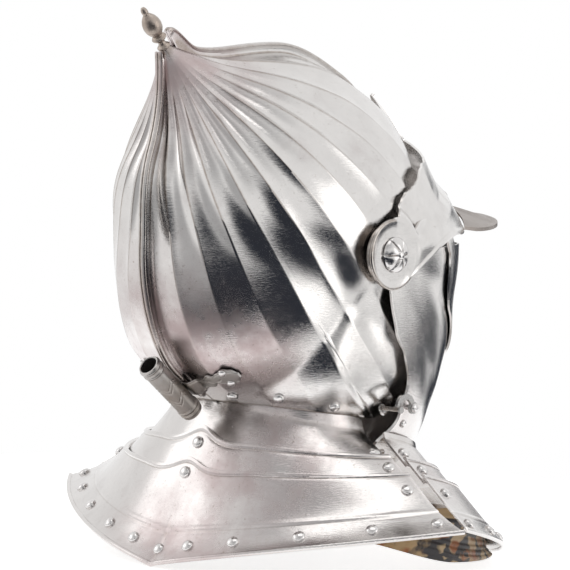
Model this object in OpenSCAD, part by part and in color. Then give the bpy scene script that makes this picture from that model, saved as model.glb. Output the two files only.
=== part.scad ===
// Close helmet of a cuirassier: a fluted two-part skull with a low comb, a peaked
// visor, a face guard and a bevor on shared pivots, and a flared gorget of lames.
// Axes before standing: X forward, Y to the wearer's left, Z up, pivots on the Y axis.

/* [Plates] */
// Thickness of the skull and the face plates
sheet = 1.5; // [1.2:0.1:1.8]
// Thickness of the gorget lames
lame_sheet = 1.4; // [1.0:0.1:1.8]
// Gap between plates that slide over each other
slide_gap = 1.0; // [0.8:0.1:1.4]

/* [Skull] */
// Half width of the skull at the pivots
skull_half_w = 92.5; // [86:0.5:97]
// Radius of the crown in front, measured from the pivots
brow_r = 115; // [111:0.5:116]
// Radius over the top of the crown
crown_r = 124; // [120:0.5:124]
// Radius at the back of the head
back_r = 115; // [111:0.5:122]
// Radius at the nape
nape_r = 109.5; // [108:0.5:112]
// Angle of the apex, from straight ahead over the top
apex_angle = 128; // [122:1:134]
// Height of the drawn-up point at the apex
spire_h = 41; // [30:1:44]
// Number of flutes on each half
flutes = 12; // [9:1:14]
// Depth of a flute at its deepest
flute_depth = 2.6; // [1:0.1:3.2]
// Height of the comb over the crown
comb_h = 6; // [4:0.5:7]
// Radius of the bead along the comb
bead_r = 1.7; // [1.4:0.1:2]

/* [Face] */
// Flat round pad of each face plate at the pivots
pad_r = 20.5; // [18:0.5:22]
// Radius of the bevor at its keel
bevor_r = 148; // [146:0.5:150]
// Radius of the tip of the visor tongue
tongue_r = 133; // [132:0.5:135]
// Reach of the visor at the root of its peak
brow_reach = 155.5; // [155:0.5:159]
// Length of the peak in front of the visor
peak_l = 50; // [36:1:58]
// Height of the sight between the visor and the face guard
sight_h = 10; // [7:0.5:14]

/* [Pivots] */
// Radius of the pivot bolt
bolt_r = 3; // [2.5:0.1:4]
// Radial clearance of the plates on the bolt
bolt_fit = 0.06; // [0.02:0.01:0.1]
// Radius of the rosette head
rosette_r = 11; // [8:0.5:13]

/* [Gorget] */
// Length of the gorget behind the pivots at its rear point
gorget_back = 113; // [108:1:120]
// Length of the gorget ahead of the pivots at its front point
gorget_front = 198; // [190:1:205]
// Half width of the rear gorget at its side edges
gorget_half_w = 172; // [164:1:178]
// Depth of the rear point below the pivots
rear_depth = 190; // [180:1:200]
// Forward lean of the skull that brings both points of the gorget to the ground
lean = 4; // [3:0.1:5]
// Radius of the rolled rim
rim_r = 1.6; // [1.2:0.1:2.2]

/* [Plume holder] */
// Bore radius of the plume tube
plume_bore_r = 5.6; // [4:0.1:6.5]
// Wall of the plume tube
plume_wall = 1.2; // [1:0.1:1.6]
// Length of the plume tube
plume_l = 50; // [40:1:60]

/* [Rivets] */
// Radius of the large rivet heads
rivet_r = 3.4; // [2.6:0.1:4]
// Radius of the small rivet heads
small_rivet_r = 2.4; // [1.8:0.1:3]

/* [Hidden] */

// Layers at the pivots, from the skull outwards
bevor_w = skull_half_w + slide_gap + sheet;
guard_w = bevor_w + slide_gap + sheet;
visor_w = guard_w + slide_gap + sheet;

// Small tools: powers of small numbers, blends and curves
function lerp(a, b, t) = a + (b - a) * t;
function clamp01(t) = min(1, max(0, t));
function ease(t) = let (c = clamp01(t)) c * c * (3 - 2 * c);
function bez(p, t) = p[0] * pow(1 - t, 3) + p[1] * 3 * t * pow(1 - t, 2)
    + p[2] * 3 * t * t * (1 - t) + p[3] * t * t * t;
function unit(v) = v / norm(v);
// Value at x on a smooth line through the pairs of a list
function through(list, x, i = 0) =
    x <= list[0][0] ? list[0][1]
    : i >= len(list) - 2 || x < list[i + 1][0]
        ? lerp(list[i][1], list[i + 1][1],
            ease((x - list[i][0]) / (list[i + 1][0] - list[i][0])))
        : through(list, x, i + 1);
function full_turn(a) = a < -90 ? a + 360 : a;

// Skull: distance from the pivot axis at its middle plane, by angle from ahead
skull_line = [
    [-60, nape_r + 5], [30, brow_r], [62, brow_r + 3.5], [90, crown_r - 0.5], [128, crown_r + 2],
    [150, crown_r - 1.5], [176, back_r], [212, back_r], [236, nape_r], [280, nape_r + 6]
];
function skull_mid(a) = through(skull_line, a);
// Squareness of its cross sections, rounder above and boxier at the neck
function skull_power(a) = 2 - 0.2 * ease(cos(a - 60) * 1.6 - 0.3)
    + pow(clamp01(0.04 - 0.96 * sin(a)), 1.5) + 2 * ease((cos(a + 85) - 0.75) / 0.22);
// Half width, drawn in above the nape
function skull_w(a) = skull_half_w - 8 * ease(1.3 * cos(a - 232) - 0.3);
apex_dir = [cos(apex_angle), 0, sin(apex_angle)];
apex_front = [sin(apex_angle), 0, -cos(apex_angle)];
// Direction at polar angle th from the apex and turn ps, 0 ahead and 180 behind
function skull_dir(th, ps) = apex_dir * cos(th)
    + (apex_front * cos(ps) + [0, sin(ps), 0]) * sin(th);
spire_spread = 8.5;
// Ridges of the flutes crowd together behind the middle
function flute_phase(ps) = flutes * (0.5 * ps / 180 + 0.5 * pow(ps / 180, 1.5));
function flute_cut(th, ps) = let (f = flute_phase(ps) % 1)
    -flute_depth * (1 - pow(2 * f - 1, 2))
    * ease((th - 3) / 16) * (1 - 0.85 * ease((th - 55) / 65));
function skull_rho(d, off) =
    let (
        a = full_turn(atan2(d[2], d[0])),
        q = norm([d[0], d[2]]),
        n = skull_power(a),
        w = lerp(skull_half_w, skull_w(a), ease((q - 0.1) / 0.4)) + off,
        body = pow(pow(q / (skull_mid(a) + off), n) + pow(abs(d[1]) / w, n), -1 / n),
        away = acos(min(1, d * apex_dir))
    )
    body + spire_h * exp(-away / spire_spread);
function skull_pt(th, ps, off) =
    let (d = skull_dir(th, ps), r = skull_rho(d, off), q = r * norm([d[0], d[2]]))
    d * (r + flute_cut(th, ps) * ease((q - 14) / 26));
// Lower edge of the skull and edge of its face opening
function neck_z(x) = -91 - 0.17 * (x + 70);
function face_x(z) = z > 0 ? 26 + 57 * pow(z / 84, 2) : 26 + 8 * pow(z / 110, 2);
function on_skull(p) = p[2] > neck_z(p[0]) && (p[2] > 86 || p[0] < face_x(p[2]));
function skull_end(ps, lo = 40, hi = 165, k = 12) =
    k == 0 ? lo
    : let (mid = (lo + hi) / 2)
        on_skull(skull_pt(mid, ps, 0)) ? skull_end(ps, mid, hi, k - 1)
        : skull_end(ps, lo, mid, k - 1);

// Comb: radius of its edge at the middle plane
function spire_at(a) = spire_h * exp(-abs(a - apex_angle) / spire_spread);
function comb_base(a) = skull_mid(a) + spire_at(a);
function curl(a) = 11 * exp(-pow((a - (apex_angle - 4)) / 2, 2));
function comb_height(a) = comb_h * ease((a - 30) / 20) * (1 - 0.45 * ease((a - 205) / 30))
    + (a < apex_angle ? curl(a) : 0);
comb_start = 44;
comb_stop = 233;
apex_gap = 1.2;

// Stand the helmet on the two points of its gorget
function stood(p) = [p[0] * cos(lean) - p[2] * sin(lean), p[1],
    p[0] * sin(lean) + p[2] * cos(lean)];
pivot_z = gorget_back * sin(lean) + rear_depth * cos(lean) + rim_r;
function base_z(x) = -rear_depth - (x + gorget_back) * tan(lean);
module stand() {
    translate([-mid_x, 0, pivot_z]) rotate([0, -lean, 0]) children();
}

// A closed shell between two surfaces: f(i, j, side) gives its points,
// side 0 outside and side 1 inside
module shell(f, nu, nv) {
    pts = [for (k = [0, 1], i = [0 : nu], j = [0 : nv]) f(i, j, k)];
    m = (nu + 1) * (nv + 1);
    function id(i, j, k) = k * m + i * (nv + 1) + j;
    faces = [
        for (i = [0 : nu - 1], j = [0 : nv - 1], h = [0, 1])
            h == 0 ? [id(i, j, 0), id(i, j + 1, 0), id(i + 1, j + 1, 0)]
            : [id(i, j, 0), id(i + 1, j + 1, 0), id(i + 1, j, 0)],
        for (i = [0 : nu - 1], j = [0 : nv - 1], h = [0, 1])
            h == 0 ? [id(i, j, 1), id(i + 1, j + 1, 1), id(i, j + 1, 1)]
            : [id(i, j, 1), id(i + 1, j, 1), id(i + 1, j + 1, 1)],
        for (i = [0 : nu - 1], j = [0, nv], h = [0, 1])
            let (a = j == 0 ? i + 1 : i, b = j == 0 ? i : i + 1)
            h == 0 ? [id(a, j, 0), id(b, j, 1), id(b, j, 0)]
            : [id(a, j, 0), id(a, j, 1), id(b, j, 1)],
        for (j = [0 : nv - 1], i = [0, nu], h = [0, 1])
            let (a = i == 0 ? j : j + 1, b = i == 0 ? j + 1 : j)
            h == 0 ? [id(i, a, 0), id(i, b, 1), id(i, b, 0)]
            : [id(i, a, 0), id(i, a, 1), id(i, b, 1)]
    ];
    polyhedron(pts, faces, convexity = 8);
}

// A tube of constant section along a list of rings
module swept(rings) {
    n = len(rings[0]);
    m = len(rings);
    faces = [
        for (i = [0 : m - 2], j = [0 : n - 1], h = [0, 1])
            let (b = (j + 1) % n)
            h == 0 ? [i * n + j, i * n + b, (i + 1) * n + b]
            : [i * n + j, (i + 1) * n + b, (i + 1) * n + j],
        [for (j = [n - 1 : -1 : 0]) j],
        [for (j = [0 : n - 1]) (m - 1) * n + j]
    ];
    polyhedron([for (r = rings) each r], faces, convexity = 8);
}

// Put children on a surface point p with their Z along the direction d
module seated(p, d) {
    z = unit(d);
    x = unit(cross(abs(z[1]) > 0.9 ? [0, 0, 1] : [0, 1, 0], z));
    y = cross(z, x);
    multmatrix([
        [x[0], y[0], z[0], p[0]],
        [x[1], y[1], z[1], p[1]],
        [x[2], y[2], z[2], p[2]]
    ]) children();
}

rivet_gap = 0.65;
lining_rivet_gap = 0.15;
module rivet(r) {
    rotate_extrude($fn = 16) polygon([[0, 0], [r, 0], [0.92 * r, 0.25 * r], [0.66 * r, 0.48 * r],
        [0.34 * r, 0.61 * r], [0, 0.65 * r]]);
}

// Skull
skull_cols = flutes * 4;
skull_rows = 11;
seam_y = 0.35;
comb_seam_y = 0.2;
function flute_turn(k) =
    let (lo = 0, hi = 180)
    turn_at(k / 4, lo, hi, 16);
function turn_at(f, lo, hi, k) =
    k == 0 ? (lo + hi) / 2
    : let (mid = (lo + hi) / 2)
        flute_phase(mid) < f ? turn_at(f, mid, hi, k - 1) : turn_at(f, lo, mid, k - 1);
skull_ends = [for (i = [0 : skull_cols]) skull_end(flute_turn(i))];
function skull_grid(i, j, k) =
    let (
        ps = min(max(flute_turn(i), 0.01), 179.99),
        u = j / skull_rows,
        th = lerp(apex_gap, skull_ends[i], u - 0.075 * sin(360 * u)),
        p = skull_pt(th, ps, k == 0 ? 0 : -sheet)
    )
    [p[0], p[1] + seam_y * max(0, 1 - p[1] / 8), p[2]];
module skull_half() {
    difference() {
        union() {
            shell(function (i, j, k) skull_grid(i, j, 1 - k), skull_cols, skull_rows);
            comb_run(0, [for (k = [len(comb_steps) - 1 : -1 : 0]) comb_steps[k]]);
            comb_run(skull_cols, comb_steps);
        }
        rotate([-90, 0, 0]) cylinder(r = bolt_r + bolt_fit, h = 2 * skull_half_w, $fn = 32);
    }
}
// Flange of the comb with its bead, on the left half. Its root follows the rows of
// the skull along the seam, in front at column 0 and behind at the last one
comb_steps = concat([0.25, 0.5, 0.75], [for (j = [2 : 2 * skull_rows]) j / 2]);
function seam_pt(i, s) =
    let (j = min(floor(s), skull_rows - 1))
    lerp(skull_grid(i, j, 0), skull_grid(i, j + 1, 0), s - j);
module comb_run(i, steps) {
    swept([for (s = steps)
        let (
            p = seam_pt(i, s),
            a = full_turn(atan2(p[2], p[0])),
            r0 = norm([p[0], p[2]]) - sheet * 0.8,
            r1 = comb_base(a) + comb_height(a),
            w = bead_r,
            prof = [
                [r0, comb_seam_y], [r0, 1.9], [r1 - 2.4 * w, 1.5], [r1 - 1.6 * w, 0.5 + 1.6 * w],
                [r1 - 0.4 * w, 0.5 + 1.6 * w], [r1, 0.4 + 0.8 * w], [r1 - 0.4 * w, comb_seam_y]
            ]
        )
        if (a > comb_start && a < comb_stop)
            [for (q = prof) [q[0] * cos(a), q[1], q[0] * sin(a)]]]);
}
module skull_left() {
    color("#b9b6b2") stand() skull_half();
}
module skull_right() {
    color("#c2bfbb") stand() mirror([0, 1, 0]) skull_half();
}

// Finial: a turned acorn on the apex, screwed through both halves
finial_base_r = comb_base(apex_angle + apex_gap) + 0.3;
finial_nut_r = comb_base(apex_angle + 1.9) - sheet - 3.3;
finial_profile = [
    [0, -10], [1.6, -10], [1.6, 0], [4.2, 0], [4.4, 1.2], [2.6, 3], [2.2, 5.5],
    [4.4, 6.6], [5.6, 8], [4.6, 9.4], [3.4, 10], [4.9, 11.6], [6.4, 14], [6.9, 17],
    [6.4, 20], [5, 22.6], [3.2, 24.4], [2.2, 25.4], [2.9, 26.8], [2.7, 28.6],
    [1.5, 30], [0, 30.4]
];
// Middle of the whole helmet, from the front of the rim to the back of the finial
front_end = stood([gorget_front, 0, base_z(gorget_front)])[0] + rim_r;
back_end = min([for (p = finial_profile)
    (finial_base_r + p[1]) * cos(apex_angle + lean) - p[0] * sin(apex_angle + lean)]);
mid_x = (front_end + back_end) / 2;
module finial() {
    color("#9c9791") stand() seated(apex_dir * finial_base_r, apex_dir)
        rotate_extrude($fn = 32) polygon(finial_profile);
}
module finial_nut() {
    color("#7d7873") stand() seated(apex_dir * finial_nut_r, apex_dir)
        difference() {
            cylinder(r = 4.4, h = 3, $fn = 6);
            translate([0, 0, -1]) cylinder(r = 1.65, h = 5, $fn = 24);
        }
}

// Pivots
module bolt(side) {
    stand() rotate([side > 0 ? -90 : 90, 0, 0]) {
        translate([0, 0, skull_half_w - 9])
            cylinder(r = bolt_r, h = visor_w - skull_half_w + 9.2, $fn = 32);
        translate([0, 0, visor_w + 0.2]) rosette();
    }
}
module rosette() {
    for (k = [0 : 5]) {
        rotate([0, 0, 60 * k]) rotate_extrude(angle = 52, $fn = 48)
            intersection() {
                translate([0, -0.75 * rosette_r]) circle(r = 1.25 * rosette_r, $fn = 48);
                square([rosette_r, rosette_r]);
            }
    }
    cylinder(r = rosette_r * 0.96, h = 1.2, $fn = 48);
    cylinder(r = 0.3 * rosette_r, h = 0.52 * rosette_r, $fn = 24);
}
module pivot_bolt_left() {
    color("#d8d5d0") bolt(1);
}
module pivot_bolt_right() {
    color("#d8d5d0") bolt(-1);
}
module pivot_nut(side) {
    color("#7d7873") stand() rotate([side > 0 ? -90 : 90, 0, 0])
        translate([0, 0, skull_half_w - sheet - 5]) difference() {
            union() {
                cylinder(r = 7.5, h = 1, $fn = 32);
                translate([0, 0, 1]) cylinder(r = 9, h = 1, $fn = 32);
                translate([0, 0, -1.5]) cylinder(r = 5.5, h = 2.5, $fn = 6);
            }
            translate([0, 0, -3]) cylinder(r = bolt_r + bolt_fit, h = 9, $fn = 32);
        }
}
module pivot_nut_left() {
    pivot_nut(1);
}
module pivot_nut_right() {
    pivot_nut(-1);
}

// Face plates: a surface by angle a around the pivots and lateral turn b, 0 at the
// keel and 90 at the pad, for a keel line, a half width and an offset
function face_q(r, b, n) = pad_r + (r - pad_r) * pow(cos(b), 2 / n);
function face_pt(a, b, r, w, n, off) =
    let (
        q = face_q(r + off, abs(b), n),
        y = (w + off) * pow(sin(abs(b)), 2 / n) * sign(b)
    )
    [q * cos(a), y, q * sin(a)];

// Bevor
function bevor_line(a) = through([[-95, bevor_r - 2], [-60, bevor_r + 18],
    [-38, bevor_r + 5], [-20, bevor_r]], a);
function bevor_power(a) = through([[-82, 3], [-50, 2], [-15, 1.6]], a);
function bevor_top(q) = -10;
// Lower edge of the bevor, straight as seen from the side
throat_z = 114;
throat_slope = 0.32;
function bevor_low(q) =
    let (
        edge_q = 114,
        k = 1 + throat_slope * throat_slope,
        m = throat_slope * throat_z,
        x = (-m + sqrt(max(0, m * m - k * (throat_z * throat_z - q * q)))) / k
    )
    q < edge_q
        ? through([[18, -84], [30, -80], [44, -74], [58, -73], [80, -78], [113, -86]], q)
        : -atan2(throat_z + throat_slope * x, x);
face_cols = 15;
module fan(line, power, top, low, w, rows) {
    shell(function (i, j, k)
        let (
            b = 90 * (i / face_cols - 1),
            q = face_q(line(-45), abs(b), power(-30)),
            a = lerp(top(q, b), low(q, b), j / rows)
        )
        face_pt(a, b, line(a), w, power(a), k == 0 ? -sheet : 0),
        2 * face_cols, rows);
}
module pads(w, r) {
    for (side = [-1, 1]) {
        rotate([-90 * side, 0, 0]) translate([0, 0, w - sheet])
            cylinder(r = r, h = sheet, $fn = 48);
    }
}
module pad_bores() {
    rotate([-90, 0, 0]) translate([0, 0, -130])
        cylinder(r = bolt_r + bolt_fit, h = 260, $fn = 32);
}
module bevor() {
    color("#c8c5c1") stand() difference() {
        union() {
            fan(function (a) bevor_line(a), function (a) bevor_power(a),
                function (q, b) bevor_top(q), function (q, b) bevor_low(q), bevor_w, 12);
            pads(bevor_w, pad_r + 1);
        }
        pad_bores();
        translate([hook_x, -hook_y, hook_z]) rotate([90, 0, 0]) translate([0, 0, -12])
            cylinder(r = hook_pin_r + bolt_fit, h = 20, $fn = 32);
    }
}

// Face guard
function guard_line(a) = a > 3 ? visor_line(a) - slide_gap - sheet - 1
    : bevor_line(a) + slide_gap + sheet + 1.5;
function guard_power(a) = a > 3 ? visor_power(a) : bevor_power(a);
sight_a = asin(sight_h / brow_reach);
function guard_top(q) = through([[22, 30], [48, 30], [76, 20], [98, 3.6 - sight_a],
    [150, 2.6 - sight_a]], q);
function guard_low(q) = through([[22, -28], [44, 4], [74, 8], [84, -2], [96, -27],
    [140, -33]], q);
module face_guard() {
    color("#cfccc8") stand() difference() {
        union() {
            fan(function (a) guard_line(a), function (a) guard_power(a),
                function (q, b) guard_top(q), function (q, b) guard_low(q), guard_w, 6);
            pads(guard_w, pad_r + 1);
        }
        pad_bores();
    }
}

// Visor
function visor_line(a) = through([[3, brow_reach], [13, brow_reach - 11], [22, tongue_r + 2],
    [30, tongue_r]], a);
function visor_power(a) = through([[3, 1.6], [28, 1.45]], a);
visor_scallop = [
    [24, 88], [26, 76.6], [37, 63.1], [45, 59.1], [54, 55.8], [58, 51.5], [64, 48.4],
    [71, 45.6], [78, 44], [86.5, 43.6], [95, 41.5], [110, 36], [130, 31], [145, 30]
];
function visor_up(q, b) = lerp(through(visor_scallop, q), tongue_a, 1 - ease((abs(b) - 2) / 10));
tongue_a = 46;
function visor_low(q) = through([[18, -60], [26, -27], [48, -1.5], [76, 3.6], [150, 2.6]], q);
module visor() {
    color("#d2cfcb") stand() difference() {
        union() {
            fan(function (a) visor_line(a), function (a) visor_power(a),
                function (q, b) visor_up(q, b), function (q, b) visor_low(q), visor_w, 10);
            pads(visor_w, pad_r + 1.5);
        }
        pad_bores();
    }
}

// Peak: an arched plate under the brow that runs out to a blunt point
peak_half_b = 40;
peak_root_z = 24;
peak_side_z = 9;
function peak_pt(b, t, k) =
    let (
        u = b / peak_half_b,
        z = lerp(peak_root_z, peak_side_z, u * u),
        a = atan2(z, brow_reach),
        root = face_pt(a, b, visor_line(a), visor_w, visor_power(a), 0.6),
        reach = peak_l * pow(max(0, 1 - u * u), 0.6) * t
    )
    [root[0], root[1], z] + unit([1, root[1] / 190, 0]) * reach
        - [0, 0, 0.26 * reach + (1 - k) * 1.5];
module peak() {
    color("#b5b1ac") stand() shell(function (i, j, k)
        peak_pt(peak_half_b * (i / 12 - 1), 0.03 + 0.97 * j / 4, k), 24, 4);
}
module peak_rivets() {
    color("#d8d5d0") stand() for (b = [-26, 0, 26]) {
        n = face_normal(13, b, function (a) visor_line(a), visor_w, function (a) visor_power(a));
        seated(face_pt(13, b, visor_line(13), visor_w, visor_power(13), 0) + n * rivet_gap, n)
            rivet(small_rivet_r);
    }
}

// Gorget: rear and front surfaces from the neck to the rim. t runs from the middle
// to a side edge, v from the neck to the rim
function rear_neck(t) = bez([[-52.8, 0], [-52.8, 41], [-38.5, 73.2], [1, 73.2]], t);
function rear_rim(t) = bez([[-gorget_back, 0], [-gorget_back - 4, 42],
    [-82, gorget_half_w - 56], [-19, gorget_half_w]], t);
function rear_rim_z(t) = let (y = rear_rim(t)[1])
    -rear_depth + 28 * pow(y / gorget_half_w, 0.85);
function front_neck(t) = bez([[bevor_r - 62, 0], [bevor_r - 62, 46], [58, skull_half_w - 8.5],
    [9, skull_half_w - 9]], t);
function front_rim(t) = bez([[gorget_front, 0], [gorget_front - 50, 58],
    [82, gorget_half_w - 26], [-11, gorget_half_w - 5]], t);
function front_rim_z(t) = let (x = front_rim(t)[0])
    base_z(x) + (-base_z(-11) - 162) * pow(max(0, t - 0.27) / 0.73, 1.15);
function gorget_pt(front, t, v, off) =
    let (
        s = abs(t),
        neck = front ? front_neck(s) : rear_neck(s),
        rim = front ? front_rim(s) : rear_rim(s),
        nz = front ? -150 + 33 * s : -93 - 21 * s,
        rz = front ? front_rim_z(s) : rear_rim_z(s),
        w = v < 0 ? 0.25 * v : v - (front ? 0 : pow(v, 4) * (1 - v)),
        p = [lerp(neck[0], rim[0], w), lerp(neck[1], rim[1], w), lerp(nz, rz, v)],
        out = unit([p[0] + 10, p[1], 60]) * (off - v * rim_lift)
    )
    [p[0] + out[0], (p[1] + out[1]) * (t < 0 ? -1 : 1), p[2] + out[2]];
function gorget_normal(front, t, v) =
    let (
        e = 0.01,
        n = unit(cross(gorget_pt(front, t + e, v, 0) - gorget_pt(front, t - e, v, 0),
            gorget_pt(front, t, v + e, 0) - gorget_pt(front, t, v - e, 0))),
        p = gorget_pt(front, t, v, 0)
    )
    n * sign(n * [p[0] + 10, p[1], 60]);
function cusp(t) = -0.05 * exp(-pow(t / 0.09, 2)) + 0.012 * exp(-pow((abs(t) - 0.2) / 0.1, 2));
lame_cols = 26;
function lame_lift(layer) = layer * (lame_sheet + slide_gap + 0.2);
rim_lift = lame_lift(2) + lame_sheet / 2;
module lame(front, v0, v1, layer, rows, cusped) {
    lift = lame_lift(layer);
    shell(function (i, j, k)
        let (
            t = 2 * i / lame_cols - 1,
            v = lerp(v0 + (cusped ? cusp(t) : v0 < 0 ? v0 * t * t : 0), v1, j / rows)
        )
        gorget_pt(front, t == 0 ? 0.0001 : t, v, lift + (k == (front ? 0 : 1) ? 0 : lame_sheet)),
        lame_cols, rows);
}
module rim(front) {
    rings = [for (i = [0 : lame_cols])
        let (
            t = 2 * i / lame_cols - 1,
            c = gorget_pt(front, t == 0 ? 0.0001 : t, 1, rim_lift),
            d = gorget_pt(front, t == 0 ? 0.0001 : t, 0.97, rim_lift),
            z = unit(c - d),
            e = gorget_pt(front, min(1, t + 0.04), 1, rim_lift)
                - gorget_pt(front, max(-1, t - 0.04), 1, rim_lift),
            y = unit(cross(unit(e), z))
        )
        [for (k = [0 : 7]) c + rim_r * (cos(45 * k) * z - sin(45 * k) * y)]];
    swept(rings);
}
module rear_lame_1() {
    color("#bdb9b5") stand() lame(false, -0.1, 0.33, 0, 2, false);
}
module rear_lame_2() {
    color("#c4c1bd") stand() lame(false, 0.23, 0.52, 1, 2, true);
}
module rear_lame_3() {
    color("#cbc8c4") stand() union() {
        lame(false, 0.43, 1, 2, 7, true);
        rim(false);
    }
}
module front_lame_1() {
    color("#bdb9b5") stand() lame(true, -0.04, 0.3, 0, 2, false);
}
module front_lame_2() {
    color("#c4c1bd") stand() lame(true, 0.22, 0.5, 1, 2, true);
}
module front_lame_3() {
    color("#cbc8c4") stand() union() {
        lame(true, 0.42, 1, 2, 4, true);
        rim(true);
    }
}

// Rivets on the lames, at pairs of t and v
module lame_rivets(front, layer, places, r) {
    for (place = places) {
        t = place[0];
        v = place[1];
        n = gorget_normal(front, t, v);
        seated(gorget_pt(front, t, v, lame_lift(layer) + lame_sheet) + n * rivet_gap, n) rivet(r);
    }
}
function both(list) = [for (p = list, s = p[0] == 0 ? [1] : [1, -1]) [max(0.0001, p[0]) * s, p[1]]];
rear_border = [[0, 0.92], [0.17, 0.92], [0.36, 0.92], [0.58, 0.92], [0.79, 0.92], [0.965, 0.92]];
front_border = [[0, 0.92], [0.2, 0.92], [0.4, 0.92], [0.6, 0.92], [0.8, 0.92], [0.955, 0.92]];
module rear_lame_1_rivets() {
    color("#dedbd6") stand() lame_rivets(false, 0, both([[0.955, 0.2]]), rivet_r);
}
module rear_lame_2_rivets() {
    color("#dedbd6") stand() lame_rivets(false, 1, both([[0, 0.28], [0.955, 0.36]]), rivet_r);
}
module rear_lame_3_rivets() {
    color("#dedbd6") stand()
        lame_rivets(false, 2, both(concat([[0, 0.47], [0.955, 0.6]], rear_border)), rivet_r);
}
module front_lame_1_rivets() {
    color("#dedbd6") stand() lame_rivets(true, 0, both([[0.945, 0.14]]), rivet_r);
}
module front_lame_2_rivets() {
    color("#dedbd6") stand() lame_rivets(true, 1, both([[0, 0.3], [0.945, 0.34]]), rivet_r);
}
module front_lame_3_rivets() {
    color("#dedbd6") stand()
        lame_rivets(true, 2, both(concat([[0, 0.55], [0.945, 0.6]], front_border)), rivet_r);
}

// Leathers inside the gorget, one in the middle and one at each side
module leathers(front) {
    steps = front ? [0.3, 0.5] : [0.33, 0.53];
    for (t0 = [-0.72, 0, 0.72]) {
        shell(function (i, j, k)
            let (
                t = t0 + 0.045 * (2 * i / 4 - 1) + 0.0001,
                v = lerp(0.06, front ? 0.6 : 0.68, j / 16),
                off = -2.3 + lame_lift(1) * ease((v - steps[0] - 0.005) / 0.04)
                    + lame_lift(1) * ease((v - steps[1] - 0.005) / 0.04)
            )
            gorget_pt(front, t, v, off + (k == (front ? 0 : 1) ? 0 : 1.4)),
            4, 16);
    }
}
module rear_leathers() {
    color("#5b3c28") stand() leathers(false);
}
module front_leathers() {
    color("#5b3c28") stand() leathers(true);
}

// Printed cloth that lines the gorget. The front one hangs below the arched sides
function hem_xy(s) = bez([[gorget_front - 12, 0], [gorget_front - 52, 62], [60, 165],
    [-45, 88]], s);
cloth_fold = 1.5;
function fold(s, v) = cloth_fold * ease(v / 0.35) * (1 + sin(360 * (1.5 * v + 1.2 * s)))
    * (0.75 + 0.25 * sin(1100 * s)) * ease((s - 0.1) / 0.25);
function cloth_pt(t, v, thick) =
    let (
        s = max(0.0001, abs(t)),
        g = gorget_pt(true, s, 0.66, lame_lift(2) - 1.8),
        top = g - ease((s - 0.78) / 0.22) * [34, 42, 10],
        h = hem_xy(s),
        hem = [h[0], h[1], base_z(h[0]) + 1 + 8 * s * s],
        p = lerp(top, hem, v),
        out = unit([p[0] + 20, p[1], 40]),
        off = thick + fold(s, v)
    )
    [p[0] + out[0] * off, (p[1] + out[1] * off) * (t < 0 ? -1 : 1), p[2] + out[2] * off];
module front_lining() {
    color("#c9a26b") stand() shell(function (i, j, k)
        cloth_pt(i / 36 - 1, j / 6, k == 0 ? 0 : 1.2), 72, 6);
}
module rear_lining() {
    color("#c9a26b") stand() shell(function (i, j, k)
        gorget_pt(false, 0.86 * (i / 20 - 1) + 0.0001, lerp(0.72, 0.97, j / 5),
            lame_lift(2) - 2.5 + (k == 1 ? 0 : 1.2)), 40, 5);
}

// Band of leather inside the lower edge of the skull
module head_lining() {
    color("#6b4a33") stand() shell(function (i, j, k)
        let (
            s = i / 14 - 1,
            ps = 180 - 72 * abs(s),
            th = skull_end(ps) - lerp(12, 2, j / 2),
            p = skull_pt(th, min(ps, 179.99), -sheet - 1.9 - (k == 0 ? 0 : 1.8))
        )
        [p[0], p[1] * (s < 0 ? -1 : 1), p[2]],
        28, 2);
}
module lining_rivets() {
    color("#dedbd6") stand() for (ps = [168, 152, 137, 121], s = [1, -1]) {
        th = skull_end(ps) - 4.2;
        n = unit(cross(skull_pt(th + 1, ps, 0) - skull_pt(th - 1, ps, 0),
            skull_pt(th, ps + 1, 0) - skull_pt(th, ps - 1, 0)));
        p = skull_pt(th, ps, 0) + n * sign(n * skull_pt(th, ps, 0)) * lining_rivet_gap;
        d = n * sign(n * p);
        seated([p[0], s * p[1], p[2]], [d[0], s * d[1], d[2]]) rivet(rivet_r * 0.92);
    }
}

// Plume holder at the nape: a rolled tube on a lobed bracket
tube_a = 230;
bracket_t = 1.2;
tube_r = plume_bore_r + plume_wall;
tube_d = comb_base(226) + comb_height(226) + 0.4 + bracket_t + 0.6 + tube_r;
tube_dir = [sin(tube_a), 0, -cos(tube_a)];
tube_foot = [tube_d * cos(tube_a), 0, tube_d * sin(tube_a)] - tube_dir * 5;
module plume_tube() {
    color("#a8a49f") stand() seated(tube_foot, tube_dir) difference() {
        union() {
            cylinder(r = tube_r, h = plume_l, $fn = 48);
            for (z = [2, plume_l - 4]) {
                translate([0, 0, z]) cylinder(r = tube_r + 0.6, h = 2, $fn = 48);
            }
        }
        translate([0, 0, 3]) cylinder(r = plume_bore_r, h = plume_l, $fn = 48);
    }
}
function skull_at(a, y, off) =
    let (
        n = skull_power(a),
        q = (skull_mid(a) + off) * pow(max(0, 1 - pow(abs(y) / (skull_w(a) + off), n)), 1 / n)
    )
    [q * cos(a), y, q * sin(a)];
function bracket_half(y) = through([[0, 7], [9, 6.5], [15, 4.4], [21, 6.2], [25, 3.6],
    [29, 5.4], [34, 8], [38.5, 6.4], [42, 2.2]], abs(y));
bracket_l = 42;
function bracket_pt(i, j, k) =
    let (
        y = bracket_l * (i / 24 - 1),
        rise = (comb_height(226) + 0.4) * (1 - ease((abs(y) - 4.2) / 7)) + 0.35,
        w = bracket_half(y) / back_r * 180 / PI,
        a = 226 - 3 * ease((abs(y) - 8) / 20) + w * (j / 3 - 1)
    )
    skull_at(a, y, rise + (k == 0 ? bracket_t : 0));
module plume_bracket() {
    color("#a8a49f") stand() shell(function (i, j, k) bracket_pt(i, j, k), 48, 6);
}
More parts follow.
